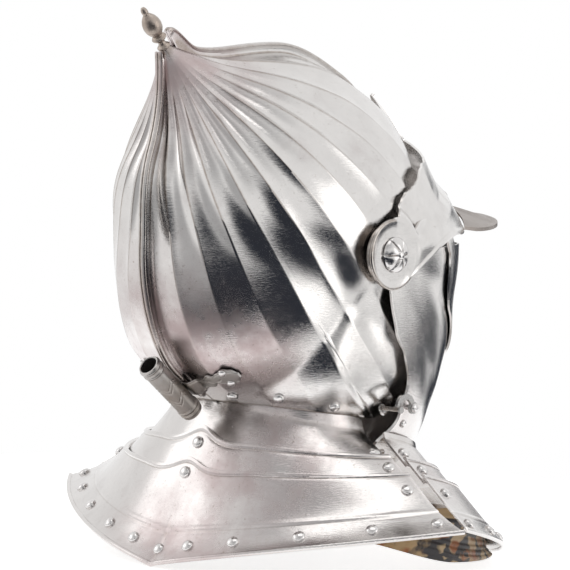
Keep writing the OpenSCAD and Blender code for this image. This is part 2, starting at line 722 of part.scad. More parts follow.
module bracket_rivets() {
    color("#dedbd6") stand() for (s = [1, -1], a = [220.2, 225.6]) {
        p = skull_at(a, 34 * s, 0.35 + bracket_t);
        n = unit(cross(skull_at(a + 1, 34 * s, 2) - skull_at(a - 1, 34 * s, 2),
            skull_at(a, 35 * s, 2) - skull_at(a, 33 * s, 2)));
        seated(p + n * rivet_gap * sign(n * p), n * sign(n * p)) rivet(small_rivet_r);
    }
}

// Catch on the right side: a hook on the bevor and a stud on the skull
hook_z = -98;
hook_x = 27;
hook_pin_r = 1.8;
hook_reach = 15;
hook_bar = 2.4;
stud_r = 1.4;
stud_x = hook_x - hook_reach + hook_bar / 2;
function cheek_y(x, z, w) =
    let (
        a = atan2(z, x),
        q = norm([x, z]),
        n = bevor_power(a),
        c = max(0, (q - pad_r) / (bevor_line(a) - pad_r))
    )
    w * pow(1 - pow(c, n), 1 / n);
hook_lift = 3.6;
hook_y = cheek_y(hook_x, hook_z, bevor_w) + hook_lift;
module hook_stud() {
    color("#b0aca7") stand() translate([stud_x, -skull_at(atan2(hook_z, stud_x), 0, 0)[1], hook_z])
        rotate([90, 0, 0]) translate([0, 0, stud_y]) {
            cylinder(r = stud_r + 1.2, h = 1, $fn = 32);
            cylinder(r = stud_r, h = hook_y - stud_y + 3.6, $fn = 32);
            translate([0, 0, hook_y - stud_y + 2.6]) cylinder(r = stud_r + 0.7, h = 1.4, $fn = 32);
        }
}
// Lateral place of the skull under the stud
function side_y(x, z, n, r) = skull_w(-85) * pow(1 - pow(norm([x, z]) / r, n), 1 / n);
stud_y = side_y(stud_x - 3.6, hook_z + 2, skull_power(-85), skull_mid(-85)) + 0.2;
module hook_rivet() {
    color("#dedbd6") stand() translate([hook_x, -hook_y, hook_z]) rotate([90, 0, 0]) {
        translate([0, 0, -hook_lift - sheet - 1.8])
            cylinder(r = hook_pin_r, h = hook_lift + sheet + 4.8, $fn = 32);
        translate([0, 0, 2.5]) rivet(small_rivet_r + 0.6);
        translate([0, 0, -hook_lift - sheet - 3.8]) cylinder(r = 3.2, h = 1.6, $fn = 32);
    }
}
module closing_hook() {
    color("#a8a49f") stand() translate([hook_x, -hook_y - 0.2, hook_z]) rotate([90, 0, 0])
        linear_extrude(height = 2) difference() {
            union() {
                circle(r = hook_pin_r + 2, $fn = 32);
                translate([-hook_reach / 2, 1]) intersection() {
                    difference() {
                        circle(r = hook_reach / 2 + 1, $fn = 48);
                        translate([-0.6, -1]) circle(r = hook_reach / 2 - hook_bar + 1, $fn = 48);
                    }
                    translate([-hook_reach, stud_r - 0.4]) square(2 * hook_reach);
                }
            }
            circle(r = hook_pin_r + bolt_fit, $fn = 32);
        }
}
function face_normal(a, b, line, w, power) =
    let (
        n = unit(cross(face_pt(a + 1, b, line(a + 1), w, power(a + 1), 0)
            - face_pt(a - 1, b, line(a - 1), w, power(a - 1), 0),
            face_pt(a, b + 1, line(a), w, power(a), 0) - face_pt(a, b - 1, line(a), w, power(a), 0))),
        p = face_pt(a, b, line(a), w, power(a), 0)
    )
    n * sign(n * p);
module bevor_rivets() {
    color("#dedbd6") stand() for (b = [26, 42, 56], s = [1, -1]) {
        a = bevor_low(face_q(bevor_line(-45), b, bevor_power(-30))) + 4;
        n = face_normal(a, b * s, function (a) bevor_line(a), bevor_w, function (a) bevor_power(a));
        seated(face_pt(a, b * s, bevor_line(a), bevor_w, bevor_power(a), 0) + n * rivet_gap, n)
            rivet(small_rivet_r);
    }
}

skull_left();
skull_right();
finial();
finial_nut();
pivot_bolt_left();
pivot_bolt_right();
pivot_nut_left();
pivot_nut_right();
plume_tube();
plume_bracket();
bracket_rivets();
lining_rivets();
hook_stud();
head_lining();
rear_lame_1();
rear_lame_2();
rear_lame_3();
rear_lame_1_rivets();
rear_lame_2_rivets();
rear_lame_3_rivets();
rear_leathers();
rear_lining();
bevor();
bevor_rivets();
hook_rivet();
closing_hook();
front_lame_1();
front_lame_2();
front_lame_3();
front_lame_1_rivets();
front_lame_2_rivets();
front_lame_3_rivets();
front_leathers();
front_lining();
face_guard();
visor();
peak();
peak_rivets();
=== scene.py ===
"""Looks of a cuirassier's close helmet. Shapes are worked out in millimetres in the
helmet's own frame (X forward, Y to the wearer's left, Z up, origin on the pivot axis),
as in the part's source, and placed in the row frame in metres by place()."""
import math

import bpy
import numpy as np
from mathutils import Matrix, Vector


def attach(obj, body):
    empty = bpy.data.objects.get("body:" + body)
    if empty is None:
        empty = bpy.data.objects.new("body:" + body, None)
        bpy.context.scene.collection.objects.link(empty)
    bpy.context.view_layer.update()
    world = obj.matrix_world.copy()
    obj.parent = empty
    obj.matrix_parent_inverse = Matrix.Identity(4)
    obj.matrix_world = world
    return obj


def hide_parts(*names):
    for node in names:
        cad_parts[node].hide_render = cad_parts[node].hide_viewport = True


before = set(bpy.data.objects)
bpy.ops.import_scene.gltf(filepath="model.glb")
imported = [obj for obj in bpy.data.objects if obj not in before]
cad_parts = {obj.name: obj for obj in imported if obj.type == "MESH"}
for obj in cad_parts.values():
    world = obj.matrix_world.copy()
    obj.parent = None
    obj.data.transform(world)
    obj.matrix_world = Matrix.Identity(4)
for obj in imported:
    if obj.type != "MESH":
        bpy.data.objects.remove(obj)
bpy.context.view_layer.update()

# Driving sizes, the same as in the part's source
SHEET, LAME_SHEET, SLIDE_GAP = 1.5, 1.4, 1.0
SKULL_HALF_W, BROW_R, CROWN_R, BACK_R, NAPE_R = 92.5, 115.0, 124.0, 115.0, 109.5
APEX_ANGLE, SPIRE_H, SPIRE_SPREAD, APEX_GAP = 128.0, 41.0, 8.5, 1.2
FLUTES, FLUTE_DEPTH, COMB_H, BEAD_R = 12, 2.6, 6.0, 1.7
PAD_R, BEVOR_R, TONGUE_R, BROW_REACH = 20.5, 148.0, 133.0, 155.5
PEAK_L, SIGHT_H, TONGUE_A = 50.0, 10.0, 46.0
ROSETTE_R, RIVET_R, SMALL_RIVET_R = 11.0, 4.0, 2.7
GORGET_BACK, GORGET_FRONT, GORGET_HALF_W, REAR_DEPTH = 113.0, 198.0, 172.0, 190.0
LEAN, RIM_R = 4.0, 1.6
PLUME_BORE_R, PLUME_WALL, PLUME_L = 5.6, 1.2, 50.0
BEVOR_W = SKULL_HALF_W + SLIDE_GAP + SHEET
GUARD_W = BEVOR_W + SLIDE_GAP + SHEET
VISOR_W = GUARD_W + SLIDE_GAP + SHEET
LAME_STEP = LAME_SHEET + SLIDE_GAP + 0.2
RIM_LIFT = 2 * LAME_STEP + LAME_SHEET / 2

# Photograph: where the right pivot is in the picture, and the camera's place
PHOTO_SIDE = 570
PIVOT_PX = (397, 255)
PIVOT_SIDE = 102.0
CAM_TURN, CAM_RISE, CAM_DISTANCE, CAM_SCALE = 47.0, 5.0, 2000.0, 1.57

# Keeps a point off the middle plane, where the two sides of a surface meet
TINY = 0.0001


# Small tools on arrays
def cosd(a):
    return np.cos(np.radians(a))


def sind(a):
    return np.sin(np.radians(a))


def ease(t):
    c = np.clip(t, 0, 1)
    return c * c * (3 - 2 * c)


def lerp(a, b, t):
    return a + (b - a) * t


def through(pairs, x):
    """Value at x on a smooth line through the pairs."""
    xs, ys = np.array(pairs, float).T
    x = np.clip(np.asarray(x, float), xs[0], xs[-1])
    i = np.clip(np.searchsorted(xs, x, side="right") - 1, 0, len(xs) - 2)
    return lerp(ys[i], ys[i + 1], ease((x - xs[i]) / (xs[i + 1] - xs[i])))


def curve(pairs, x):
    """Value at x on an even curve through the pairs, without swings between them."""
    xs, ys = np.array(pairs, float).T
    x = np.clip(np.asarray(x, float), xs[0], xs[-1])
    s = np.diff(ys) / np.diff(xs)
    both = s[:-1] * s[1:]
    inner = np.where(both > 0, 2 * both / np.where(both > 0, s[:-1] + s[1:], 1), 0)
    m = np.concatenate([s[:1], inner, s[-1:]])
    i = np.clip(np.searchsorted(xs, x, side="right") - 1, 0, len(xs) - 2)
    h = xs[i + 1] - xs[i]
    u = (x - xs[i]) / h
    return (ys[i] * (1 + 2 * u) * (1 - u) ** 2 + ys[i + 1] * u * u * (3 - 2 * u)
            + h * (m[i] * u * (1 - u) ** 2 - m[i + 1] * u * u * (1 - u)))


def bez(p, t):
    t = np.asarray(t, float)[..., None]
    p = np.array(p, float)
    return (p[0] * (1 - t) ** 3 + p[1] * 3 * t * (1 - t) ** 2
            + p[2] * 3 * t * t * (1 - t) + p[3] * t ** 3)


def unit(v):
    return v / np.maximum(np.linalg.norm(v, axis=-1, keepdims=True), 1e-9)


def stack(x, y, z):
    return np.stack(np.broadcast_arrays(x, y, z), axis=-1).astype(float)


# Surfaces: skull
SKULL_LINE = [(-60, NAPE_R + 5), (30, BROW_R), (62, BROW_R + 3.5), (90, CROWN_R - 0.5),
              (128, CROWN_R + 2), (150, CROWN_R - 1.5), (176, BACK_R), (212, BACK_R),
              (236, NAPE_R), (280, NAPE_R + 6)]
APEX_DIR = np.array([math.cos(math.radians(APEX_ANGLE)), 0, math.sin(math.radians(APEX_ANGLE))])
APEX_FRONT = np.array([math.sin(math.radians(APEX_ANGLE)), 0, -math.cos(math.radians(APEX_ANGLE))])


def skull_mid(a):
    return through(SKULL_LINE, a)


def skull_power(a):
    return (2 - 0.2 * ease(cosd(a - 60) * 1.6 - 0.3)
            + np.clip(0.04 - 0.96 * sind(a), 0, 1) ** 1.5
            + 2 * ease((cosd(a + 85) - 0.75) / 0.22))


def skull_w(a):
    return SKULL_HALF_W - 8 * ease(1.3 * cosd(a - 232) - 0.3)


def flute_phase(ps):
    return FLUTES * (0.5 * ps / 180 + 0.5 * (ps / 180) ** 1.5)


def flute_cut(th, ps):
    f = flute_phase(ps) % 1
    return (-FLUTE_DEPTH * (1 - (2 * f - 1) ** 2) * ease((th - 3) / 16)
            * (1 - 0.64 * ease((th - 34) / 36)))


def skull_pt(th, ps, off):
    d = (APEX_DIR * cosd(th)[..., None]
         + (APEX_FRONT * cosd(ps)[..., None] + np.array([0, 1, 0]) * sind(ps)[..., None])
         * sind(th)[..., None])
    a = np.degrees(np.arctan2(d[..., 2], d[..., 0]))
    a = np.where(a < -90, a + 360, a)
    q = np.hypot(d[..., 0], d[..., 2])
    n = skull_power(a)
    w = lerp(SKULL_HALF_W, skull_w(a), ease((q - 0.1) / 0.4)) + off
    body = ((q / (skull_mid(a) + off)) ** n + (np.abs(d[..., 1]) / w) ** n) ** (-1 / n)
    r = body + SPIRE_H * np.exp(-np.asarray(th) / SPIRE_SPREAD)
    r = r + flute_cut(th, ps) * ease((r * q - 14) / 26)
    return d * r[..., None]


def skull_end(ps):
    """Angle from the apex at which the skull ends, at its neck or face opening."""
    lo, hi = np.full_like(ps, 40.0), np.full_like(ps, 165.0)
    for _ in range(14):
        mid = (lo + hi) / 2
        p = skull_pt(mid, ps, 0.0)
        x, z = p[..., 0], p[..., 2]
        face = np.where(z > 0, 26 + 18 * (np.maximum(z, 0) / 35) ** 3.6, 26 + 8 * (z / 110) ** 2)
        inside = (z > -91 - 0.17 * (x + 70)) & ((z > 86) | (x < face))
        lo, hi = np.where(inside, mid, lo), np.where(inside, hi, mid)
    return lo


def comb_base(a):
    return skull_mid(a) + SPIRE_H * np.exp(-np.abs(a - APEX_ANGLE) / SPIRE_SPREAD)


def comb_height(a):
    curl = 11 * np.exp(-(((a - (APEX_ANGLE - 4)) / 2) ** 2))
    return (COMB_H * ease((a - 30) / 20) * (1 - 0.45 * ease((a - 205) / 30))
            + np.where(a < APEX_ANGLE, curl, 0))


# Surfaces: face plates
def face_q(r, b, n):
    return PAD_R + (r - PAD_R) * np.clip(cosd(b), 0, 1) ** (2 / n)


def face_pt(a, b, r, w, n, off):
    q = face_q(r + off, np.abs(b), n)
    y = (w + off) * np.abs(sind(b)) ** (2 / n) * np.sign(b)
    return stack(q * cosd(a), y, q * sind(a))


def bevor_line(a):
    return through([(-95, BEVOR_R - 2), (-60, BEVOR_R + 18), (-38, BEVOR_R + 5), (-20, BEVOR_R)], a)


def bevor_power(a):
    return through([(-82, 3), (-50, 2), (-15, 1.6)], a)


THROAT_Z, THROAT_SLOPE = 114.0, 0.32


def bevor_low(q):
    k = 1 + THROAT_SLOPE ** 2
    m = THROAT_SLOPE * THROAT_Z
    x = (-m + np.sqrt(np.maximum(0, m * m - k * (THROAT_Z ** 2 - q * q)))) / k
    cheek = through([(18, -84), (30, -80), (44, -74), (58, -73), (80, -78), (113, -86)], q)
    return np.where(q < 114, cheek, -np.degrees(np.arctan2(THROAT_Z + THROAT_SLOPE * x, x)))


def visor_line(a):
    return through([(3, BROW_REACH), (13, BROW_REACH - 11), (22, TONGUE_R + 2), (30, TONGUE_R)], a)


def visor_power(a):
    return through([(3, 1.6), (28, 1.45)], a)


# Above this angle the face guard follows the visor, below it the bevor
GUARD_SPLIT_A = 3


def guard_line(a):
    upper = visor_line(a) - SLIDE_GAP - SHEET - 1
    lower = bevor_line(a) + SLIDE_GAP + SHEET + 1.5
    return np.where(a > GUARD_SPLIT_A, upper, lower)


def guard_power(a):
    return np.where(a > GUARD_SPLIT_A, visor_power(a), bevor_power(a))


SIGHT_A = math.degrees(math.asin(SIGHT_H / BROW_REACH))
GUARD_TOP = [(22, 30), (48, 30), (76, 20), (98, 3.6 - SIGHT_A), (150, 2.6 - SIGHT_A)]
GUARD_LOW = [(22, -28), (44, 4), (74, 8), (84, -2), (96, -27), (140, -33)]
BEVOR_TOP = [(30, -10), (52, 0), (84, 0), (97, -10)]
VISOR_SCALLOP = [(24, 88), (26, 76.6), (37, 63.1), (45, 59.1), (54, 55.8), (58, 51.5), (64, 48.4),
                 (71, 45.6), (78, 44), (86.5, 43.6), (95, 41.5), (110, 36), (130, 31), (145, 30)]
VISOR_LOW = [(17, -78), (19.5, -58), (23.4, -31), (34.6, -8.5), (51.8, 2.2), (71.5, 5), (84, 5),
             (98, 3.6), (150, 2.6)]


def visor_up(q, b):
    return lerp(through(VISOR_SCALLOP, q), TONGUE_A, 1 - ease((np.abs(b) - 2) / 10))


# Surfaces: gorget
def base_z(x):
    return -REAR_DEPTH - (x + GORGET_BACK) * math.tan(math.radians(LEAN))


def gorget_pt(front, t, v, off):
    t, v, off = np.broadcast_arrays(*(np.asarray(x, float) for x in (t, v, off)))
    s = np.abs(t)
    if front:
        neck = bez([(86, 0), (86, 46), (58, 84), (9, 83.5)], s)
        rim = bez([(GORGET_FRONT, 0), (GORGET_FRONT - 50, 58), (82, GORGET_HALF_W - 26),
                   (-11, GORGET_HALF_W - 5)], s)
        nz = -150 + 33 * s
        rz = base_z(rim[..., 0]) + (-base_z(-11) - 162) * (np.maximum(0, s - 0.27) / 0.73) ** 1.15
        w = v
    else:
        neck = bez([(-52.8, 0), (-52.8, 41), (-38.5, 73.2), (1, 73.2)], s)
        rim = bez([(-GORGET_BACK, 0), (-GORGET_BACK - 4, 42), (-82, GORGET_HALF_W - 56),
                   (-19, GORGET_HALF_W)], s)
        nz = -93 - 21 * s
        rz = -REAR_DEPTH + 28 * (np.clip(rim[..., 1], 0, None) / GORGET_HALF_W) ** 0.85
        w = v - np.clip(v, 0, 1) ** 4 * (1 - v)
    w = np.where(v < 0, 0.25 * v, w)[..., None]
    xy = lerp(neck, rim, w)
    out = unit(stack(xy[..., 0] + 10, xy[..., 1], 60.0)) * (off - v * RIM_LIFT)[..., None]
    return stack(xy[..., 0] + out[..., 0], (xy[..., 1] + out[..., 1]) * np.where(t < 0, -1, 1),
                 lerp(nz, rz, v) + out[..., 2])


def lame_lift(layer):
    return layer * LAME_STEP


def cusp(t):
    return (-0.05 * np.exp(-((t / 0.09) ** 2))
            + 0.012 * np.exp(-(((np.abs(t) - 0.2) / 0.1) ** 2)))


# Placing in the row frame
FINIAL_PROFILE = [
    (0, -10), (1.6, -10), (1.6, 0), (4.2, 0), (4.4, 1), (2.5, 2.6), (2.1, 4.8),
    (3.9, 5.9), (4.9, 7.2), (4, 8.6), (2.8, 9.4), (4.2, 11), (5.5, 13.4), (6, 16.4),
    (5.6, 19.4), (4.4, 22.2), (2.8, 24.2), (1.8, 25.4), (2.2, 26.6), (2, 28.4),
    (1.2, 30), (0, 30.4)]
FINIAL_BASE_R = float(comb_base(APEX_ANGLE + APEX_GAP)) + 0.3
PIVOT_Z = (GORGET_BACK * math.sin(math.radians(LEAN))
           + REAR_DEPTH * math.cos(math.radians(LEAN)) + RIM_R)
FRONT_END = (GORGET_FRONT * math.cos(math.radians(LEAN))
             - base_z(GORGET_FRONT) * math.sin(math.radians(LEAN)) + RIM_R)
BACK_END = min((FINIAL_BASE_R + z) * math.cos(math.radians(APEX_ANGLE + LEAN))
               - r * math.sin(math.radians(APEX_ANGLE + LEAN)) for r, z in FINIAL_PROFILE)
MID_X = (FRONT_END + BACK_END) / 2


def turn(p):
    c, s = math.cos(math.radians(LEAN)), math.sin(math.radians(LEAN))
    p = np.asarray(p, float)
    return stack(p[..., 0] * c - p[..., 2] * s, p[..., 1], p[..., 0] * s + p[..., 2] * c)


def place(p):
    return (turn(p) + np.array([-MID_X, 0, PIVOT_Z])) / 1000


# Meshes
class Build:
    """Collects grids of points into one mesh."""

    def __init__(self):
        self.verts, self.faces, self.count = [], [], 0

    def grid(self, pts, wrap=False, flip=False):
        nu, nv = pts.shape[:2]
        ids = self.count + np.arange(nu * nv).reshape(nu, nv)
        self.verts.append(place(pts).reshape(-1, 3))
        self.count += nu * nv
        if wrap:
            ids = np.vstack([ids, ids[:1]])
        quads = np.stack([ids[:-1, :-1], ids[1:, :-1], ids[1:, 1:], ids[:-1, 1:]], -1)
        quads = quads.reshape(-1, 4)
        self.faces.append(quads[:, ::-1] if flip else quads)
        return ids

    def shell(self, outer, inner, flip=False):
        """A plate with thickness between two grids of the same size."""
        o = self.grid(outer, flip=flip)
        i = self.grid(inner, flip=not flip)

        def strip(a, b):
            quads = np.stack([a[:-1], b[:-1], b[1:], a[1:]], -1)
            self.faces.append(quads[:, ::-1] if flip else quads)
        strip(o[:, 0], i[:, 0])
        strip(i[:, -1], o[:, -1])
        strip(i[0], o[0])
        strip(o[-1], i[-1])

    def make(self, name, material, body, nodes, sharp=40):
        mesh = bpy.data.meshes.new(name)
        verts = np.concatenate(self.verts)
        faces = np.concatenate(self.faces)
        mesh.from_pydata(verts.tolist(), [], faces.tolist())
        mesh.validate()
        mesh.shade_smooth()
        if sharp:
            mesh.set_sharp_from_angle(angle=math.radians(sharp))
        obj = bpy.data.objects.new(name, mesh)
        bpy.context.scene.collection.objects.link(obj)
        obj.data.materials.append(material)
        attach(obj, body)
        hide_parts(*nodes)
        return obj


def capped(pts, first, last):
    """A bar's rings of points, closed to a point at both ends."""
    shape = pts[:, :1].shape
    ends = np.broadcast_to(first, shape), np.broadcast_to(last, shape)
    return np.concatenate([ends[0], pts, ends[1]], axis=1)


def axes_on(p, d):
    """Axes of a small piece on point p with its own Z along d."""
    z = unit(np.asarray(d, float))
    x = unit(np.cross([0, 0, 1] if abs(z[1]) > 0.9 else [0, 1, 0], z))
    return np.asarray(p, float), x, np.cross(z, x), z


def turned(build, frame_axes, profile, segments, wave=None):
    """A turned form about the Z of frame_axes from (radius, height) points."""
    p, x, y, z = frame_axes
    a = np.linspace(0, 360, segments, endpoint=False)[:, None]
    r, h = np.array(profile, float).T
    if wave is not None:
        h = wave(a, r[None, :], h[None, :])
    h = np.broadcast_to(h, (segments, r.size))
    pts = (p + (cosd(a) * r)[..., None] * x + (sind(a) * r)[..., None] * y + h[..., None] * z)
    build.grid(pts, wrap=True)


DOME_H, DOME_SKIRT = 0.62, 0.12


def dome(r):
    """Profile of a domed rivet head with a small skirt."""
    return [(r, -0.3), (r, DOME_SKIRT * r)] + [
        (0.96 * r * float(cosd(k)), DOME_SKIRT * r + (DOME_H - DOME_SKIRT) * r * float(sind(k)))
        for k in np.linspace(0, 90, 9)]


# Materials
class Nodes:
    """Shorthands for the nodes of one tree."""

    def __init__(self, tree):
        self.tree = tree
        tree.nodes.clear()

    def add(self, kind, **values):
        n = self.tree.nodes.new(kind)
        for k, v in values.items():
            if k.startswith("in_"):
                n.inputs[k[3:].replace("_", " ")].default_value = v
            else:
                setattr(n, k, v)
        return n

    def link(self, a, b):
        self.tree.links.new(a, b)

    def noise(self, vec, scale, detail, rough=0.6):
        n = self.add("ShaderNodeTexNoise", in_Scale=scale, in_Detail=detail, in_Roughness=rough)
        self.link(vec, n.inputs["Vector"])
        return n.outputs["Fac"]

    def ramp(self, fac, lo, hi, a=0.0, b=1.0, **values):
        m = self.add("ShaderNodeMapRange", in_From_Min=lo, in_From_Max=hi, in_To_Min=a,
                     in_To_Max=b, **values)
        self.link(fac, m.inputs["Value"])
        return m.outputs["Result"]

    def mix(self, fac, a, b):
        m = self.add("ShaderNodeMix", data_type="RGBA")
        for value, name in ((fac, 0), (a, 6), (b, 7)):
            if isinstance(value, (tuple, float, int)):
                m.inputs[name].default_value = (*value, 1) if isinstance(value, tuple) else value
            else:
                self.link(value, m.inputs[name])
        return m.outputs[2]

    def op(self, kind, a, b):
        m = self.add("ShaderNodeMath", operation=kind, use_clamp=True)
        for i, value in enumerate((a, b)):
            if isinstance(value, (float, int)):
                m.inputs[i].default_value = value
            else:
                self.link(value, m.inputs[i])
        return m.outputs[0]

    def blob(self, pos, centre, size):
        """1 at a place in the row frame (metres), falling to 0 at a distance."""
        d = self.add("ShaderNodeVectorMath", operation="DISTANCE")
        self.link(pos, d.inputs[0])
        d.inputs[1].default_value = centre
        return self.ramp(d.outputs["Value"], size, size * 0.25)

    def background_rays(self):
        """1 for the rays that see the background: camera, glossy and transmission."""
        path = self.add("ShaderNodeLightPath").outputs
        rays = self.op("MAXIMUM", path["Is Camera Ray"], path["Is Glossy Ray"])
        return self.op("MAXIMUM", rays, path["Is Transmission Ray"])


def surface(name):
    mat = bpy.data.materials.new(name)
    mat.use_nodes = True
    t = Nodes(mat.node_tree)
    bsdf = t.add("ShaderNodeBsdfPrincipled")
    t.link(bsdf.outputs[0], t.add("ShaderNodeOutputMaterial").inputs[0])
    return mat, t, bsdf


WORN_EDGE_GAIN = 1.25
STEEL_COLOR, STEEL_STAIN, STEEL_DARK = (0.74, 0.72, 0.705), (0.47, 0.385, 0.38), (0.3, 0.25, 0.21)


def steel(name, color=STEEL_COLOR, rough=0.09, stains=(), stain_color=STEEL_STAIN, pits=0.35):
    """Old polished steel: faint clouding, fine scratches, pits, brown stains in places, and dirt
    with painted shade in the hollows.
    """
    mat, t, bsdf = surface(name)
    pos = t.add("ShaderNodeTexCoord").outputs["Object"]
    cloud = t.noise(pos, 28, 8, 0.62)
    fine = t.noise(pos, 260, 4, 0.7)
    speck = t.noise(pos, 900, 3, 0.6)
    base = t.mix(t.ramp(cloud, 0.3, 0.7), color, tuple(0.86 * c for c in color))
    mask = t.ramp(cloud, 0.56, 0.8, 0, 0.3)
    for centre, size, strength in stains:
        stain = t.op("MULTIPLY", t.blob(pos, centre, size), strength)
        mask = t.op("ADD", mask, t.op("MULTIPLY", stain, t.ramp(cloud, 0.25, 0.6)))
    base = t.mix(mask, base, stain_color)
    pit = t.ramp(t.op("MULTIPLY", fine, speck), 0.34, 0.44, 0, 1)
    pit_mask = t.op("MULTIPLY", pit, t.ramp(mask, 0.0, 0.8, pits, 1.0))
    base = t.mix(pit_mask, base, STEEL_DARK)
    edge = t.add("ShaderNodeNewGeometry").outputs["Pointiness"]
    # Hollows and creases are darkened, partly as dirt and partly as painted shade on the flutes'
    # shadow sides.
    hollow_dirt_and_shade = t.op("MULTIPLY", t.ramp(edge, 0.492, 0.46, 0, 0.75), t.ramp(fine, 0.3, 0.6, 0.5, 1))
    base = t.mix(hollow_dirt_and_shade, base, STEEL_DARK)
    worn = t.op("MULTIPLY", t.ramp(edge, 0.52, 0.58, 0, 0.6), t.ramp(cloud, 0.3, 0.6))
    base = t.mix(worn, base, tuple(min(1, WORN_EDGE_GAIN * c) for c in color))
    t.link(base, bsdf.inputs["Base Color"])
    bsdf.inputs["Metallic"].default_value = 1.0
    r = t.op("ADD", t.ramp(cloud, 0.3, 0.75, rough, rough + 0.07), t.ramp(mask, 0, 1, 0, 0.2))
    r = t.op("ADD", r, t.ramp(fine, 0.4, 0.7, 0, 0.05))
    t.link(r, bsdf.inputs["Roughness"])
    stretch = t.add("ShaderNodeMapping")
    stretch.inputs["Scale"].default_value = (1, 1, 14)
    stretch.inputs["Rotation"].default_value = (0.5, 0.9, 0.3)
    t.link(pos, stretch.inputs["Vector"])
    scratch = t.noise(stretch.outputs[0], 220, 3, 0.5)
    hammer = t.noise(pos, 42, 2, 0.5)
    height = t.op("ADD", t.ramp(scratch, 0.3, 0.7, 0, 0.12), t.ramp(hammer, 0.2, 0.8, 0, 0.3))
    height = t.op("SUBTRACT", height, t.ramp(pit_mask, 0, 1, 0, 0.18))
    bump = t.add("ShaderNodeBump", in_Strength=0.35, in_Distance=0.0006)
    t.link(height, bump.inputs["Height"])
    t.link(bump.outputs[0], bsdf.inputs["Normal"])
    return mat


def leather(name, color=(0.2, 0.11, 0.06)):
    mat, t, bsdf = surface(name)
    pos = t.add("ShaderNodeTexCoord").outputs["Object"]
    cloud = t.noise(pos, 60, 6)
    cells = t.add("ShaderNodeTexVoronoi", in_Scale=900.0)
    t.link(pos, cells.inputs["Vector"])
    worn = tuple(1.7 * c for c in color)
    t.link(t.mix(t.ramp(cloud, 0.3, 0.7), color, worn), bsdf.inputs["Base Color"])
    t.link(t.ramp(cloud, 0.2, 0.8, 0.5, 0.8), bsdf.inputs["Roughness"])
    bump = t.add("ShaderNodeBump", in_Strength=0.5, in_Distance=0.0004)
    t.link(cells.outputs["Distance"], bump.inputs["Height"])
    t.link(bump.outputs[0], bsdf.inputs["Normal"])
    return mat


def printed_cloth(name):
    """Silky cloth with a generic spotted print: ochre ground, rust blotches, dark veins."""
    mat, t, bsdf = surface(name)
    pos = t.add("ShaderNodeTexCoord").outputs["Object"]
    wob = t.noise(pos, 38, 4)
    warp = t.add("ShaderNodeVectorMath", operation="ADD")
    shift = t.add("ShaderNodeCombineXYZ")
    t.link(t.ramp(wob, 0, 1, -0.012, 0.012), shift.inputs[0])
    t.link(t.ramp(wob, 0, 1, 0.009, -0.009), shift.inputs[1])
    t.link(pos, warp.inputs[0])
    t.link(shift.outputs[0], warp.inputs[1])
    long = t.add("ShaderNodeMapping")
    long.inputs["Scale"].default_value = (0.8, 0.42, 1.3)
    t.link(warp.outputs[0], long.inputs["Vector"])
    big = t.add("ShaderNodeTexVoronoi", in_Scale=72.0)
    t.link(long.outputs[0], big.inputs["Vector"])
    small = t.add("ShaderNodeTexVoronoi", feature="DISTANCE_TO_EDGE", in_Scale=64.0)
    t.link(long.outputs[0], small.inputs["Vector"])
    cloud = t.noise(pos, 30, 4)
    patch = t.noise(pos, 55, 2)
    ground = t.mix(t.ramp(cloud, 0.35, 0.65), (0.5, 0.31, 0.13), (0.68, 0.52, 0.32))
    blotch = t.ramp(big.outputs["Distance"], 0.46, 0.34)
    ground = t.mix(t.op("MULTIPLY", blotch, t.ramp(patch, 0.4, 0.5)), ground, (0.36, 0.12, 0.03))
    vein = t.op("MULTIPLY", t.ramp(small.outputs["Distance"], 0.15, 0.08), t.ramp(cloud, 0.4, 0.5))
    core = t.op("MULTIPLY", t.ramp(big.outputs["Distance"], 0.22, 0.16), t.ramp(patch, 0.55, 0.5))
    ground = t.mix(t.op("MAXIMUM", vein, core), ground, (0.018, 0.014, 0.016))
    t.link(ground, bsdf.inputs["Base Color"])
    t.link(t.ramp(cloud, 0.3, 0.7, 0.38, 0.55), bsdf.inputs["Roughness"])
    bsdf.inputs["Sheen Weight"].default_value = 0.4
    bsdf.inputs["Sheen Roughness"].default_value = 0.35
    weave = t.add("ShaderNodeTexWave", in_Scale=900.0, in_Distortion=0.6)
    t.link(pos, weave.inputs["Vector"])
    bump = t.add("ShaderNodeBump", in_Strength=0.25, in_Distance=0.0003)
    t.link(weave.outputs["Fac"], bump.inputs["Height"])
    t.link(bump.outputs[0], bsdf.inputs["Normal"])
    return mat


def here(x, y, z):
    """A place in the row frame, in metres, from the helmet's own millimetres."""
    return tuple(float(v) for v in place(np.array([x, y, z], float)))


APEX_SPOT = here(*(APEX_DIR * 150))
skull_steel = steel("steel_skull", stains=[
    (here(-85, -48, -58), 0.052, 1.2), (here(-60, 75, -60), 0.07, 0.9),
    (here(-100, 0, -40), 0.07, 0.7), (APEX_SPOT, 0.075, 0.8)])
face_steel = steel("steel_face", rough=0.1, stains=[(here(0, -90, -110), 0.05, 0.6)])
gorget_steel = steel("steel_gorget", color=(0.7, 0.675, 0.66), rough=0.12, stains=[
    (here(-70, -60, -110), 0.07, 0.9), (here(-130, -20, -175), 0.09, 0.9),
    (here(20, -95, -165), 0.06, 0.6)])
brown_steel = steel("steel_brown", color=(0.5, 0.45, 0.41), rough=0.28,
                    stain_color=(0.3, 0.2, 0.13), pits=0.6, stains=[(here(0, 0, 0), 0.4, 0.5)])
peak_steel = steel("steel_peak", color=(0.36, 0.32, 0.295), rough=0.3,
                   stain_color=(0.15, 0.11, 0.09), pits=0.8, stains=[(here(150, 0, 0), 0.05, 1.3)])
rivet_steel = steel("steel_rivet", color=(0.72, 0.7, 0.69), rough=0.13, pits=0.2)
tube_steel = steel("steel_tube", color=(0.46, 0.45, 0.44), rough=0.24, pits=0.6,
                   stain_color=(0.27, 0.22, 0.18), stains=[(here(-100, 0, -100), 0.09, 0.6)])
strap_leather = leather("strap_leather")
lining_leather = leather("lining_leather", (0.16, 0.1, 0.07))
cloth = printed_cloth("printed_cloth")


